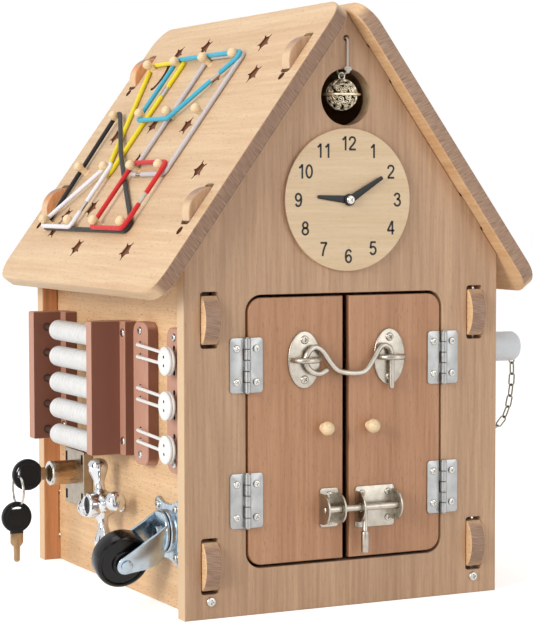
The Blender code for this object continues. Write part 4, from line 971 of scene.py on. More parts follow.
def barrelBolt():
    boltBracket("boltKeeper", bolt["keeper"], bolt["keeperScrews"], "left_door", "bolt_keeper")
    boltBracket("boltCase", bolt["case"], bolt["caseScrews"], "right_door", "bolt_case")
    y = house["face"] - bolt["height"]
    mesh = spin(bmesh.new(), bolt["rod"], (bolt["start"], y, bolt["z"]), (1, 0, 0), 24)
    spin(mesh, bolt["lever"], (bolt["leverX"], y, bolt["z"]), (0, 0, -1), 20)
    add("boltRod", mesh, "satin", "bolt", "bolt")


doors()
hinges()
hookLatch()
barrelBolt()
print("doors, hinges and latches made")


# the clock

clock = {
    "z": 286.6, "radius": 49.75, "dial": (0.3, 3.3), "edge": 0.5,
    "ring": 39.3, "tall": 9.9, "advance": 0.62, "stroke": 1.45, "ink": (0.2, 0.06),
    # strokes of each numeral in a box one high: a ring's centre and radii, a curve's points or a line's ends
    "numerals": {
        "0": (("ring", (0.30, 0.50, 0.225, 0.43)),),
        "1": (("line", ((0.38, 1.0), (0.38, 0.0))), ("curve", ((0.13, 0.74), (0.26, 0.82), (0.36, 0.95)))),
        "2": (("curve", ((0.07, 0.70), (0.11, 0.84), (0.21, 0.92), (0.34, 0.93), (0.47, 0.87), (0.53, 0.74),
                         (0.48, 0.58), (0.34, 0.40), (0.17, 0.22), (0.08, 0.07))),
              ("line", ((0.04, 0.07), (0.58, 0.07)))),
        "3": (("curve", ((0.08, 0.75), (0.16, 0.89), (0.30, 0.93), (0.43, 0.88), (0.48, 0.75), (0.42, 0.60),
                         (0.26, 0.54))),
              ("curve", ((0.26, 0.54), (0.46, 0.48), (0.54, 0.32), (0.49, 0.16), (0.37, 0.08), (0.23, 0.08),
                         (0.12, 0.15), (0.07, 0.28)))),
        "4": (("line", ((0.44, 0.98), (0.44, 0.0))), ("line", ((0.41, 0.95), (0.06, 0.30))),
              ("line", ((0.02, 0.29), (0.60, 0.29)))),
        "5": (("line", ((0.53, 0.93), (0.13, 0.93))), ("line", ((0.16, 0.95), (0.10, 0.50))),
              ("curve", ((0.10, 0.50), (0.22, 0.60), (0.36, 0.60), (0.49, 0.50), (0.53, 0.33), (0.47, 0.16),
                         (0.33, 0.07), (0.19, 0.10), (0.08, 0.23)))),
        "6": (("curve", ((0.51, 0.76), (0.44, 0.89), (0.32, 0.93), (0.18, 0.86), (0.10, 0.68), (0.08, 0.45),
                         (0.11, 0.24), (0.20, 0.11), (0.32, 0.07), (0.45, 0.13), (0.52, 0.29), (0.48, 0.46),
                         (0.36, 0.56), (0.23, 0.54), (0.11, 0.40))),),
        "7": (("line", ((0.05, 0.93), (0.57, 0.93))),
              ("curve", ((0.54, 0.92), (0.42, 0.72), (0.31, 0.46), (0.25, 0.22), (0.22, 0.0)))),
        "8": (("ring", (0.30, 0.725, 0.185, 0.205)), ("ring", (0.30, 0.295, 0.225, 0.225))),
    },
    # length, half width, turn, near and far height; then how the end of a hand is cut back and narrowed
    "hands": {"hour": (25.0, 1.2, 175.0, 3.7, 4.5), "minute": (30.5, 1.4, 31.0, 4.9, 5.7)},
    "tip": ((0.9, 1.0), (0.2, 0.75), (0.0, 0.3)), "handEdges": (0.3, 0.1), "hub": (4.2, 1.9),
    "stem": ((1.5, 3.3), (1.5, 6.2), (3.2, 6.25)), "stemScrew": (6.25, 3.2, 40),
}


# a flat stroke along a route, standing a little proud of its surface
def ribbon(mesh, place, points, width, low, high, closed=False):
    points = [Vector(p) for p in points]
    count, rows = len(points), []
    for k, p in enumerate(points):
        before = points[k - 1] if closed or k else p
        after = points[(k + 1) % count] if closed or k < count - 1 else p
        run = (after - before).normalized()
        side = Vector((-run.y, run.x)) * (width / 2)
        corners = ((p + side, low), (p + side, high), (p - side, high), (p - side, low))
        rows.append([mesh.verts.new(at(place, q.x, q.y, h)) for q, h in corners])
    for a, b in list(zip(rows, rows[1:])) + ([(rows[-1], rows[0])] if closed else []):
        for j in range(4):
            mesh.faces.new((a[j], a[(j + 1) % 4], b[(j + 1) % 4], b[j]))
    for row in ([] if closed else [rows[0], rows[-1]]):
        mesh.faces.new(row)


def numeral(mesh, place, digit, x, y):
    flip = digit == "9"                       # a 9 is a 6 turned over
    tall, low = clock["tall"], clock["dial"][1]
    under, over = clock["ink"]

    def inDial(u, v):
        u, v = (0.6 - u, 1 - v) if flip else (u, v)
        return (x + u * tall, y + v * tall)

    for kind, points in clock["numerals"]["6" if flip else digit]:
        if kind == "ring":
            u, v, wide, high = points
            route = [inDial(u + wide * a, v + high * b) for a, b in circle(0, 0, 1, 36)]
        else:
            route = [inDial(u, v) for u, v in (fair(points, 5) if kind == "curve" else points)]
        ribbon(mesh, place, route, clock["stroke"], low - under, low + over, kind == "ring")


def clockFace():
    place = ((0, house["face"], clock["z"]), (1, 0, 0), (0, 0, 1), (0, -1, 0))
    dial = board(place, circle(0, 0, clock["radius"], 120), *clock["dial"], edge=clock["edge"])
    add("clockDial", dial, "dial", "house", "clock_dial", weighted=True)
    ink = bmesh.new()
    tall, advance = clock["tall"], clock["advance"]
    for hour in range(1, 13):
        a = math.radians(90 - 30 * hour)
        word = str(hour)
        x = clock["ring"] * math.cos(a) - len(word) * advance * tall / 2
        for k, digit in enumerate(word):
            numeral(ink, place, digit, x + k * advance * tall, clock["ring"] * math.sin(a) - tall / 2)
    add("clockNumerals", ink, "ink", "house")
    r, eye = clock["hub"]
    edge, eyeEdge = clock["handEdges"]
    for name, (long, half, turn, near, far) in clock["hands"].items():
        tip = [(long - back, half * share) for back, share in clock["tip"]]
        outline = arc(0, 0, r, 40, 320, 24) + [(x, -y) for x, y in tip] + tip[::-1]
        a = math.radians(turn)
        handPlace = (place[0], (math.cos(a), 0, math.sin(a)), (-math.sin(a), 0, math.cos(a)), (0, -1, 0))
        mesh = board(handPlace, outline, near, far, [circle(0, 0, eye, 20)], edge=edge, holeEdge=eyeEdge)
        add(name + "Hand", mesh, "hand", name + "_hand", name + "_hand")
    stem = spin(bmesh.new(), clock["stem"], place[0], place[3], 24)
    screw(stem, place, 0, 0, *clock["stemScrew"])
    add("clockScrew", stem, "nickel", "house")


# the round bell: curled wire over a dark ball of painted shade, hung on a knotted cord

bell = {
    "centre": (0, -134.0, 360.1), "radius": 11.25, "wall": 1.1,
    "curls": 62, "wire": 0.42, "sunk": 0.45,
    # size of a curl, its points, the point where it would reach its middle, turn per curl and per point
    "curl": (2.75, 19, 22, 1.7, 0.62),
    "rim": ((11.0, -0.9), (13.0, -0.75), (13.5, -0.35), (13.5, 0.35), (13.0, 0.75), (11.0, 0.9)),
    "ring": (2.3, 0.6, 1.7),
}
bellCord = {
    "radius": 0.75, "knot": (0, -143.6, 377.2), "knotSize": 0.72, "knotDepth": 0.8,
    "strand": ((0, -134.0, 373.4), (0, -140.0, 374.8), (0, -142.6, 377.5), (0, -142.6, 396.0),
               (0, -141.9, 398.3), (0, -140.4, 399.1), (0, -129.6, 399.1), (0, -128.1, 398.3),
               (0, -127.4, 396.0), (0, -127.4, 377.5), (0, -130.0, 374.8)),
}


def hangBell():
    centre, radius = Vector(bell["centre"]), bell["radius"]
    inner = radius - bell["wall"]
    turns = [math.radians(-90 + 12 * k) for k in range(16)]
    shell = [(max(inner * math.cos(a), 0), inner * math.sin(a)) for a in turns]
    shell[0], shell[-1] = (0, -inner), (0, inner)
    # a dark ball inside the curls: painted shade for the bell's hollow inside
    add("bellInside", spin(bmesh.new(), shell, centre, (0, 0, 1), 32), "tarnish", "bell")
    mesh = spin(bmesh.new(), bell["rim"], centre, (0, 0, 1), 48, True)
    size, points, middle, perCurl, perPoint = bell["curl"]
    turn = math.pi * (3 - math.sqrt(5))       # spreads the curls evenly over the ball
    for k in range(bell["curls"]):
        z = 1 - 2 * (k + 0.5) / bell["curls"]
        flat = math.sqrt(1 - z * z)
        out = Vector((flat * math.cos(turn * k), flat * math.sin(turn * k), z))
        u = out.cross(Vector((0, 0, 1))).normalized()
        v = out.cross(u)
        curl = []
        for j in range(points):
            r = size * (1 - j / middle)
            a = k * perCurl + j * perPoint
            way = out * radius + (u * math.cos(a) + v * math.sin(a)) * r
            curl.append(centre + way.normalized() * (radius - bell["sunk"]))
        tube(mesh, curl, bell["wire"], 6)
    x, y, z = centre
    r, wire, rise = bell["ring"]
    tube(mesh, [(x + a, y, z + radius + rise + b) for a, b in circle(0, 0, r, 24)], wire, 10, True)
    add("bellFiligree", mesh, "filigree", "bell", "bell", sharp=60)
    radius, size, depth = (bellCord[key] for key in ("radius", "knotSize", "knotDepth"))
    cord = tube(bmesh.new(), fair(bellCord["strand"], 5, True), radius, 10, True)
    middle, knot = Vector(bellCord["knot"]), []
    for t in (2 * math.pi * j / 48 for j in range(48)):
        x, z = math.sin(t) + 2 * math.sin(2 * t), math.cos(t) - 2 * math.cos(2 * t)
        knot.append(middle + Vector((x, -math.sin(3 * t) * depth, z)) * size)
    tube(cord, knot, radius, 8, True)
    add("bellCord", cord, "twine", "house", "bell_cord", sharp=60)


clockFace()
hangBell()
print("clock and bell made")


# the abacus on the left wall

abacus = {
    "wallX": -112.3, "outX": -143.7, "footX": -121.5, "low": 101.0, "edge": 1.0,
    # name: (foot end, heel, front of the upright, top)
    "rear": (88.5, 110.3, 99.3, 200.0), "front": (-30.4, -10.0, -20.0, 199.0),
    "screws": (9.2, (190.5, 111.5), 3.3, 0.5),
    "rodX": -133.0, "rodHeights": [148.3 + 19.9 * k for k in (-2, -1, 0, 1, 2)], "rod": (2.2, 101.0, 114.5),
    "collar": ((1.0, 1.6), (0.9, 1.85)), "collarIn": 2.0,
    # a bead's half profile as (in from its radius, in from its end), and the same for the end of the row
    "beads": 14, "beadRow": (-9.4, 76.0), "bead": 7.8, "drop": 1.0, "bore": 3.6,
    "beadEnd": ((1.5, 0.0), (0.45, 0.45), (0.0, 1.3)),
    "rowEnd": ((0.0, 2.4), (0.5, 1.2), (1.5, 0.3), (2.6, 0.0)),
}


def abacusFrame():
    wall, out, foot, low = (abacus[key] for key in ("wallX", "outX", "footX", "low"))
    height, screwHeights, head, shift = abacus["screws"]
    for name in ("rear", "front"):
        end, heel, face, top = abacus[name]
        outline = [(wall, end), (wall, heel), (out, heel), (out, face), (foot, face), (foot, end)]
        mesh = board(levelPlace, outline, low, top, edge=abacus["edge"])
        for z in screwHeights:
            screw(mesh, leftPlace, -(end + face) / 2 + shift, z, height, head, z, 1)
        add(name + "Bracket", mesh, ("brown", "nickel"), "house", f"abacus_{name}_plate",
            weighted=True)
    rods = bmesh.new()
    r, y, long = abacus["rod"]
    collar = [(r + grow, -d) for grow, d in abacus["collar"]]
    for z in abacus["rodHeights"]:
        spin(rods, ((r, 0), (r, long)), (abacus["rodX"], y, z), (0, -1, 0), 16)
        spin(rods, collar, (abacus["rodX"], abacus["rear"][2] - abacus["collarIn"], z), (0, -1, 0), 20)
    add("abacusRods", rods, "rod", "house")


def beadRows():
    start, stop = abacus["beadRow"]
    count, r, bore = (abacus[key] for key in ("beads", "bead", "bore"))
    pitch = (stop - start) / count
    total = count * pitch
    disc = [(r - a, b) for a, b in abacus["beadEnd"]]
    disc += [(r - a, pitch - b) for a, b in abacus["beadEnd"][:0:-1]]
    profile = [(a, k * pitch + b) for k in range(count) for a, b in disc][:-2]
    profile += [(r - a, total - b) for a, b in abacus["rowEnd"]] + [(bore, total), (bore, 0.0)]
    for k, z in enumerate(abacus["rodHeights"], 1):
        mesh = spin(bmesh.new(), profile, (abacus["rodX"], start, z - abacus["drop"]), (0, 1, 0), 40, True)
        add(f"beadRow{k}", mesh, "bead", f"bead_row_{k}", f"bead_row_{k}", sharp=50)


# the holed strip, the button strip, three buttons and their elastic

strips = {
    "heights": (0.3, 8.7), "holed": (43.0, 97.5, 69.0, 200.0), "buttoned": (102.0, 98.0, 128.5, 199.0),
    "corner": 8.0, "edge": 1.0,
    "holeX": 56.0, "holes": ((184.0, 175.4), (153.2, 145.0), (122.7, 114.9)), "hole": (2.3, 6.5),
    "sinkX": 115.0, "buttons": (176.5, 145.8, 115.5), "sink": (8.5, 1.9, 3.0),
    "screws": ((56.0, 193.8), (56.0, 105.0), (115.3, 192.4), (115.3, 104.6)), "head": 2.9,
}
button = {
    "across": 118.0, "radius": 10.0, "back": 13.5, "split": 15.7, "front": 18.0, "seam": 0.15,
    "edges": (0.7, 0.6), "eyes": (3.0, 1.1, 1.9), "beading": (1.3, 0.3), "shank": (1.5, 9.2),
}
lace = {
    "x": -123.4, "inside": -114.6, "holeY": -56.0, "buttonY": -118.0, "turn": 3.8, "radius": 1.2, "bend": 1.6,
}


def lacingStrips():
    r, deep = strips["hole"]
    eyes = [(circle(strips["holeX"], z, r, 24), deep) for pair in strips["holes"] for z in pair]
    drop, r, deep = strips["sink"]
    sinks = [(circle(strips["sinkX"], z + k * drop, r, 20), deep) for z in strips["buttons"] for k in (-1, 1)]
    for name, pockets, node in (("holed", eyes, "loop_strip"), ("buttoned", sinks, "button_strip")):
        outline = roundedBox(*strips[name], [strips["corner"]] * 4, 10)
        # the pockets take the dark rod colour: painted shade in the holes
        mesh = board(leftPlace, outline, *strips["heights"], pockets=pockets, edge=strips["edge"])
        for x, z in strips["screws"]:
            if strips[name][0] < x < strips[name][2]:
                screw(mesh, leftPlace, x, z, strips["heights"][1], strips["head"], x + z, 2)
        add(name + "Strip", mesh, ("strip", "rod", "nickel"), "house", node, weighted=True)


def lacedButtons():
    x, r, back, split, front = (button[key] for key in ("across", "radius", "back", "split", "front"))
    drop, eye, deep = button["eyes"]
    frontEdge, backEdge = button["edges"]
    inset, wire = button["beading"]
    shank, foot = button["shank"]
    for k, z in enumerate(strips["buttons"], 1):
        holes = [(circle(x, z + side * drop, eye, 16), deep) for side in (-1, 1)]
        outline = circle(x, z, r, 56)
        # the button holes take the dark rod colour: painted shade in the holes
        mesh = board(leftPlace, outline, split, front, pockets=holes, edge=frontEdge)
        board(leftPlace, outline, back, split - button["seam"], edge=backEdge, mesh=mesh)
        rim = circle(0, 0, r - inset, 56)
        tube(mesh, [(-house["wallOut"] - front, -x + a, z + b) for a, b in rim], wire, 8, True)
        spin(mesh, ((shank, foot), (shank, back)), (-house["wallOut"], -x, z), (-1, 0, 0), 16)
        add(f"button{k}", mesh, ("white", "rod"), f"button_{k}", f"button_{k}")
    route = []
    out, inside, holeY, turn = (lace[key] for key in ("x", "inside", "holeY", "turn"))
    for (top, low), z in zip(strips["holes"], strips["buttons"]):
        loop = [(out, lace["buttonY"] - turn * math.sin(a), z + turn * math.cos(a))
                for a in (math.pi * j / 8 for j in range(9))]
        route += [(inside, holeY, top), (out, holeY, top)] + loop + [(out, holeY, low), (inside, holeY, low)]
    elastic = tube(bmesh.new(), filleted(route, lace["bend"], 4), lace["radius"], 12)
    add("buttonElastic", elastic, "cord", "house", "button_elastic", sharp=60)


abacusFrame()
beadRows()
lacingStrips()
lacedButtons()
print("abacus, strips and buttons made")


# the cam lock with its key, and the spare key on a split ring

lock = {
    "y": 74.5, "z": 77.2, "case": (-96.0, 51.5, -57.0, 94.5), "heights": (0.3, 8.0),
    "corner": 2.0, "edge": 0.8,
    "notches": ((-94.3, 84.0, -90.3, 91.5), (-62.3, 84.0, -58.5, 91.5), (-94.3, 54.5, -90.3, 62.0),
                (-62.3, 54.5, -58.5, 62.0)),
    "notch": (0.6, 5.0),
    "barrel": ((9.25, 8.0), (9.25, 26.4), (9.0, 26.6)),
    "collar": ((9.0, 26.6), (9.4, 26.9), (9.5, 27.6), (9.4, 28.7), (8.7, 29.4), (7.0, 29.4), (6.3, 28.8),
               (6.3, 12.4), (0, 12.4)),
    "core": (5.9, 12.4, 30.0, 0.5), "way": (1.3, 4.5, 0.4, 12.0),
}
# a bow has its middle, radius and slot, a blade its outline, and a groove its corners, rounding and depth
keys = {
    "bowHalf": 2.0, "bladeHalf": 1.0, "neck": 5.0, "slotCorner": 1.2, "edges": (0.9, 0.3),
    "bow": (-159.0, 12.0, (-168.0, 75.2, -165.0, 83.0)), "neckX": -148.4, "ridge": (8.8, 0.55),
    "blade": ((-150.0, -4.8), (-144.8, -4.8), (-143.4, -3.4), (-128.0, -3.4), (-128.0, 3.4), (-143.4, 3.4),
              (-144.8, 4.8), (-150.0, 4.8)),
    "groove": (-149.0, -0.9, -129.0, 0.6, 0.3, 0.5),
    "spare": (-168.0, 45.2), "spareBow": (11.8, (4.5, 51.2, 54.3)), "spareNeck": 32.6,
    "spareRidge": (8.6, 0.55),
    "spareBlade": ((-5.0, 34.0), (-5.0, 25.6), (-3.6, 23.4), (-2.5, 22.6), (-2.3, 12.2), (-1.2, 10.8),
                   (1.4, 10.8), (2.3, 12.2), (2.5, 22.6), (3.6, 23.4), (5.0, 25.6), (5.0, 34.0)),
    "spareGroove": (-0.7, 12.6, 0.9, 30.0, 0.4, 0.6),
    "ring": (-166.5, 65.4, 11.6, 0.65, 0.7),
}


def camLock():
    corner, deep = lock["notch"]
    notches = [(roundedBox(*notch, [corner] * 4, 3), deep) for notch in lock["notches"]]
    outline = roundedBox(*lock["case"], [lock["corner"]] * 4, 4)
    # the notches take the dark rod colour: painted shade in the recesses
    mesh = board(leftPlace, outline, *lock["heights"], edge=lock["edge"], pockets=notches)
    axis = (-house["wallOut"], lock["y"], lock["z"])
    spin(mesh, lock["barrel"], axis, (-1, 0, 0), 48, paintIndex=2)
    spin(mesh, lock["collar"], axis, (-1, 0, 0), 48, paintIndex=3)
    finishes = ("lockPlate", "rod", "lock", "nickel")
    add("lockCase", mesh, finishes, "house", "lock_case", weighted=True)
    r, near, far, edge = lock["core"]
    wide, tall, corner, deep = lock["way"]
    way = roundedBox(-wide, -tall, wide, tall, [corner] * 4, 3)
    # the keyway takes the dark rod colour: painted shade in it
    core = board((axis, *leftPlace[1:]), circle(0, 0, r, 40), near, far, edge=edge, pockets=[(way, deep)])
    add("lockCore", core, ("tarnish", "rod"), "key", "lock_core", weighted=True)


# a plastic bow with a slot through it and a ridge round both faces, and the flat blade in it
def keyPieces(name, body, node, outline, slot, middle, ridge, blade, groove):
    flat = ((0, 0, 0), (1, 0, 0), (0, 0, 1), (0, -1, 0))
    depth, half, thin = -lock["y"], keys["bowHalf"], keys["bladeHalf"]
    edge, bladeEdge = keys["edges"]
    slot = roundedBox(*slot, [keys["slotCorner"]] * 4, 4)
    mesh = board(flat, outline, depth - half, depth + half, [slot], edge=edge)
    x, z = middle
    r, wire = ridge
    for side in (-1, 1):
        tube(mesh, [(x + a, lock["y"] + side * half, z + b) for a, b in circle(0, 0, r, 44)], wire, 8, True)
    add(name + "Bow", mesh, "black", body, node, weighted=True)
    x0, z0, x1, z1, corner, deep = groove
    pockets = [(roundedBox(x0, z0, x1, z1, [corner] * 4, 2), deep)]
    mesh = board(flat, blade, depth - thin, depth + thin, edge=bladeEdge, pockets=pockets)
    add(name + "Blade", mesh, ("key", "key"), body)


def keyPair():
    neck = keys["neck"]
    x, r, slot = keys["bow"]
    z = lock["z"]
    turn = math.degrees(math.asin(neck / r))
    outline = arc(x, z, r, turn, 360 - turn, 44) + [(keys["neckX"], z - neck), (keys["neckX"], z + neck)]
    x0, z0, x1, z1, *cut = keys["groove"]
    keyPieces("key", "key", "lock_key", outline, slot, (x, z), keys["ridge"],
              [(a, z + b) for a, b in keys["blade"]], (x0, z + z0, x1, z + z1, *cut))
    x, z = keys["spare"]
    r, (half, bottom, top) = keys["spareBow"]
    turn = math.degrees(math.asin(neck / r))
    low = keys["spareNeck"]
    outline = arc(x, z, r, turn - 90, 270 - turn, 44) + [(x - neck, low), (x + neck, low)]
    x0, z0, x1, z1, *cut = keys["spareGroove"]
    keyPieces("spareKey", "spare_key", "spare_key", outline, (x - half, bottom, x + half, top), (x, z),
              keys["spareRidge"], [(x + a, b) for a, b in keys["spareBlade"]], (x + x0, z0, x + x1, z1, *cut))
    x, z, r, wire, pitch = keys["ring"]
    split = []
    for k in range(81):                       # twice round, as a split ring is
        a = 2 * math.pi * k / 40
        split.append((x + pitch * (a / (2 * math.pi) - 1), lock["y"] + r * math.sin(a), z + r * math.cos(a)))
    add("keyRing", tube(bmesh.new(), split, wire, 10), "nickel", "spare_key")


# the tap

tap = {
    "y": -0.6, "z": 62.3, "tilt": 12.0, "armsX": -129.0,
    "base": ((7.0, 0.3), (7.0, 1.9), (6.6, 2.6), (5.8, 3.3), (5.6, 4.2), (5.6, 7.1)),
    "hub": ((4.8, 7.5), (6.6, 7.9), (8.4, 9.2), (9.2, 11.0), (9.2, 26.4), (9.0, 27.8), (8.4, 28.7),
            (7.4, 29.0), (6.5, 28.7), (6.2, 28.0), (6.2, 26.2), (0, 26.2)),
    "cap": ((5.8, 26.1), (5.8, 27.2), (5.3, 27.7), (3.3, 27.8), (3.0, 27.5), (0, 27.4)),
    "arm": ((7.4, 6.2), (6.0, 8.6), (4.6, 10.2), (3.9, 12.3), (3.7, 14.3), (4.1, 17.5), (5.4, 20.9),
            (6.7, 24.2), (7.4, 27.4), (7.0, 30.5), (5.3, 32.9), (2.8, 33.9), (0, 34.1)),
}


def wallTap():
    axis = (-house["wallOut"], tap["y"], tap["z"])
    base = spin(bmesh.new(), tap["base"], axis, (-1, 0, 0), 40)
    add("tapBase", base, "chrome", "house", "tap_base")
    mesh = spin(bmesh.new(), tap["hub"], axis, (-1, 0, 0), 48)
    spin(mesh, tap["cap"], axis, (-1, 0, 0), 40, paintIndex=1)
    for k in range(4):
        a = math.radians(90 * k - tap["tilt"])
        spin(mesh, fair(tap["arm"], 3), (tap["armsX"], tap["y"], tap["z"]), (0, math.cos(a), math.sin(a)), 36)
    add("tapHandle", mesh, ("chrome", "black"), "tap_handle", "tap_handle", sharp=50)


# the swivel caster

caster = {
    "y": -87.5, "z": 54.0, "trail": 18.5, "tilt": 18.0, "axleX": -147.5,
    "plate": (21.0, 23.0, 6.0, 3.6), "heights": (0.3, 2.7), "edge": 0.6, "screws": (15.0, 17.0, 2.9),
    "turns": (30, 20),
    "race": ((15.5, 2.6), (15.5, 4.8), (14.9, 5.6), (4.0, 5.6), (4.0, 11.0), (3.5, 11.7), (0, 11.8)),
    "balls": ((4.6, 5.4), (13.0, 5.4), (13.0, 6.5), (4.6, 6.5)),
    "cup": ((4.4, 6.1), (13.3, 6.1), (14.6, 6.7), (15.0, 7.6), (14.9, 8.3), (14.2, 9.0), (4.4, 9.0)),
    # outline of a leg as (out from the wall, down the trail): up to its eye, the eye and back from it
    "legs": ((-12.0, -10.2), (10.2, 12.0)), "legFront": ((7.5, -10.0), (9.0, -10.0), (16.0, -4.0)),
    "legEye": (7.0, -60, 110), "legBack": ((20.0, 23.0), (12.0, 20.0), (8.6, 15.0), (7.5, 14.0)),
    "rivet": ((2.9, 9.0), (2.9, 12.1), (4.2, 12.3), (4.2, 13.3), (3.6, 13.9), (2.6, 14.0), (0, 14.0)),
    "wheelSide": ((3.5, 8.5), (8.0, 8.5), (8.6, 8.2), (9.4, 6.6), (16.2, 6.0), (16.7, 6.6), (17.2, 7.2),
                  (18.2, 7.2), (19.3, 6.4), (20.0, 4.8)),
}


# a plate with a lobe at each corner and hollow sides
def casterPlate(place):
    wide, tall, lobe, waist = caster["plate"]
    lobes = [arc(sx * (wide - lobe), sz * (tall - lobe), lobe, start + 8, start + 82, 8)
             for sx, sz, start in ((1, -1, 270), (1, 1, 0), (-1, 1, 90), (-1, -1, 180))]
    outline = []
    for k, corner in enumerate(lobes):
        outline += corner + bulge(lobes[(k + 1) % 4][0], corner[-1], waist, 12)[::-1]
    mesh = board(place, outline, *caster["heights"], edge=caster["edge"])
    spin(mesh, caster["race"], place[0], place[3], 48)
    # a dark ring in the gap between race and cup: painted shade between the parts
    spin(mesh, caster["balls"], place[0], place[3], 40, True, 2)
    x, z, head = caster["screws"]
    turn, more = caster["turns"]
    for sx in (-1, 1):
        for sz in (-1, 1):
            screw(mesh, place, sx * x, sz * z, caster["heights"][1], head, turn * sx + more * sz, 1)
    add("casterPlate", mesh, ("zinc", "nickel", "rod"), "house", "caster_plate")


def swivelCaster():
    top = Vector((-house["wallOut"], caster["y"], caster["z"]))
    casterPlate((top, *leftPlace[1:]))
    tilt = math.radians(caster["tilt"])
    trail = Vector((0, math.sin(tilt), -math.cos(tilt)))
    axle = Vector((0, math.cos(tilt), math.sin(tilt)))
    hub = -caster["axleX"] - house["wallOut"]
    r, start, stop = caster["legEye"]
    leg = [*caster["legFront"], *arc(hub, caster["trail"], r, start, stop, 20), *caster["legBack"]]
    mesh = spin(bmesh.new(), caster["cup"], top, (-1, 0, 0), 48, True)
    for near, far in caster["legs"]:
        board((top, (-1, 0, 0), trail, axle), leg, near, far, edge=caster["edge"], mesh=mesh)
    centre = top + Vector((-hub, 0, 0)) + trail * caster["trail"]
    for way in (-1, 1):
        spin(mesh, caster["rivet"], centre, axle * way, 24)
    add("casterFork", mesh, "zinc", "caster_fork", "caster_fork")
    half = caster["wheelSide"]
    wheel = spin(bmesh.new(), [(r, -d) for r, d in half] + list(half[::-1]), centre, axle, 72, True)
    add("casterWheel", wheel, "tyre", "caster_wheel", "caster_wheel", sharp=30)


camLock()
keyPair()
wallTap()
swivelCaster()
print("lock, keys, tap and caster made")


# the stopper in the right wall and its chain

stopper = {
    "place": (90.0, -112.0, 177.0),
    "plug": ((9.8, 0), (10.7, 0.5), (11.0, 1.5), (11.0, 65.6), (10.8, 67.3), (9.8, 69.0), (8.2, 69.9),
             (5.0, 70.6), (0, 70.8)),
    # the eye and the chain's middle line as (x, z), both in the plane of the stopper's axis
    "eye": ((155.4, 167.0), (155.5, 165.3), (157.4, 163.7), (159.3, 165.3), (159.4, 167.0)),
    "chain": ((113.4, 121.0), (121.0, 118.2), (130.0, 115.6), (140.0, 115.8), (148.0, 120.5), (153.6, 130.0),
              (156.5, 143.0), (157.6, 155.0), (157.5, 164.2)),
    "link": (10.5, 5.5, 1.2), "overlap": 0.05, "wallX": 112.0, "anchorZ": 121.2,
    "anchor": ((4.5, 0.3), (4.5, 0.9), (4.1, 1.4), (2.8, 1.9), (2.2, 2.5), (0, 2.6)),
}


def stopperAndChain():
    plug = spin(bmesh.new(), stopper["plug"], stopper["place"], (1, 0, 0), 56)
    add("stopperPlug", plug, "plug", "stopper_plug", "stopper_plug", sharp=50)
    y = stopper["place"][1]
    long, wide, wire = stopper["link"]
    eye = tube(bmesh.new(), fair([(x, y, z) for x, z in stopper["eye"]], 5), wire / 2, 10)
    add("stopperEye", eye, "chain", "stopper_plug")
    foot = (stopper["wallX"], y, stopper["anchorZ"])
    add("chainAnchor", spin(bmesh.new(), stopper["anchor"], foot, (1, 0, 0), 28), "chain", "house")
    route = fair([(x, y, z) for x, z in stopper["chain"]], 12)
    marks = [0.0]
    for a, b in zip(route, route[1:]):
        marks.append(marks[-1] + (b - a).length)

    def spot(length):
        k = max(1, next((j for j, mark in enumerate(marks) if mark >= length), len(marks) - 1))
        share = (length - marks[k - 1]) / (marks[k] - marks[k - 1])
        return route[k - 1].lerp(route[k], min(max(share, 0), 1))

    count = round(marks[-1] / (long - 2 * wire))
    pitch = marks[-1] / count
    reach, side = pitch / 2 + wire / 2 - stopper["overlap"], (wide - wire) / 2
    mesh = bmesh.new()
    for k in range(count):
        middle = spot((k + 0.5) * pitch)
        ahead = (spot((k + 1) * pitch) - spot(k * pitch)).normalized()
        across = Vector((0, 1, 0)) if k % 2 else ahead.cross(Vector((0, 1, 0)))
        ends = arc(reach - side, 0, side, -90, 90, 8) + arc(side - reach, 0, side, 90, 270, 8)
        tube(mesh, [middle + ahead * a + across * b for a, b in ends], wire / 2, 8, True)
    chain = add("stopperChain", mesh, "chain", None, "stopper_chain", sharp=60)
    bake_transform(chain)


# six elastic bands round the pegs, five of them closed by a crimp

bandShape = {
    "radius": 1.75, "wrap": 4.3, "crimpHalf": 5.5,
    "crimp": ((1.0, -7.5), (1.3, -7.2), (1.3, 7.2), (1.0, 7.5)),
}
lowBand, highBand, topBand = 1.9, 4.6, 5.2   # how far the centre of a band is over the roof
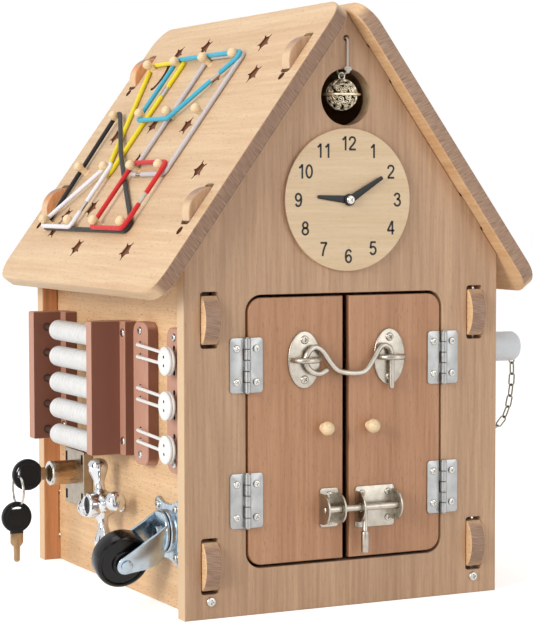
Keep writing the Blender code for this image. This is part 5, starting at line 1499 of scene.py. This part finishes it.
# name: look, slot, pegs as (row, column, height) or free spots as (y, s, 0, height), and where the crimp is:
# which run of the band, and what share of that run
bands = {
    "yellow": ("yellow", "yellow", ((1, 1, lowBand), (1, 2, lowBand), (3, 2, lowBand)), (1, 0.25)),
    "cyan": ("cyan", "cyan",
             ((1, 2, highBand), (1, 4, highBand), (2, 3, highBand), (2, 2, highBand)), (1, 0.3)),
    "grey": ("grey", "grey", ((1, 3, lowBand), (1, 4, lowBand), (3, 4, lowBand), (3, 3, lowBand)), (2, 0.79)),
    "white": ("whiteBand", "white", ((3, 2, highBand), (4, 2, highBand), (4, 1, highBand)), (0, 0.71)),
    "red": ("red", "red", ((3, 3, topBand), (3, 4, topBand), (4, 4, topBand), (4, 3, topBand)), (1, 0.56)),
    "black": ("blackBand", "black_elastic",
              ((2, 1, highBand), (50.0, 147.0, 0, 4.5), (14.5, 170.4, 0, 2.4), (4, 4, lowBand),
               (4, 1, lowBand)), None),
}


def bandRoute(stops):
    stops = [stop if len(stop) == 4 else (pegShape["columns"][stop[1] - 1], pegShape["rows"][stop[0] - 1],
                                         bandShape["wrap"], stop[2]) for stop in stops]
    count = len(stops)
    pairs = [(stop, stops[(k + 1) % count]) for k, stop in enumerate(stops)]
    hand = -1 if sum(a[0] * b[1] - b[0] * a[1] for a, b in pairs) > 0 else 1
    outs, legs = [], []
    for a, b in pairs:
        run = Vector((b[0] - a[0], b[1] - a[1]))
        ahead = run.normalized()
        lean = (a[2] - b[2]) / run.length
        out = ahead * lean + Vector((-ahead.y, ahead.x)) * hand * math.sqrt(1 - lean * lean)
        outs.append(out)
        legs.append([(p[0] + out.x * p[2], p[1] + out.y * p[2], p[3]) for p in (a, b)])
    turns = []
    for k, (y, s, wrap, height) in enumerate(stops):
        turns.append([])
        into = outs[k - 1]
        turn = into.angle_signed(outs[k]) if wrap else 0.0
        steps = math.ceil(abs(turn) / math.radians(12))
        for j in range(steps + 1):
            a = -turn * j / max(steps, 1)
            x = into.x * math.cos(a) - into.y * math.sin(a)
            z = into.x * math.sin(a) + into.y * math.cos(a)
            turns[-1].append((y + x * wrap, s + z * wrap, height))
    return turns, legs


def elasticBands():
    crimps = bmesh.new()
    for name, (look, slot, stops, crimp) in bands.items():
        turns, legs = bandRoute(stops)
        leg, share = crimp or (0, 0)
        turns = turns[leg + 1:] + turns[:leg + 1]
        points = [at(leftRoofPlace, *p) / mm for turn in turns for p in turn]
        if crimp:
            a, b = (at(leftRoofPlace, *p) / mm for p in legs[leg])
            middle, reach = a.lerp(b, share), (b - a).normalized() * bandShape["crimpHalf"]
            spin(crimps, bandShape["crimp"], middle, b - a, 20)
            points = [middle + reach] + points + [middle - reach]
        band = tube(bmesh.new(), points, bandShape["radius"], 14, not crimp)
        add(name + "Band", band, look, "house", name + "_band", sharp=60)
    add("bandCrimps", crimps, "nickel", "house")


stopperAndChain()
elasticBands()
print("stopper, chain and bands made")
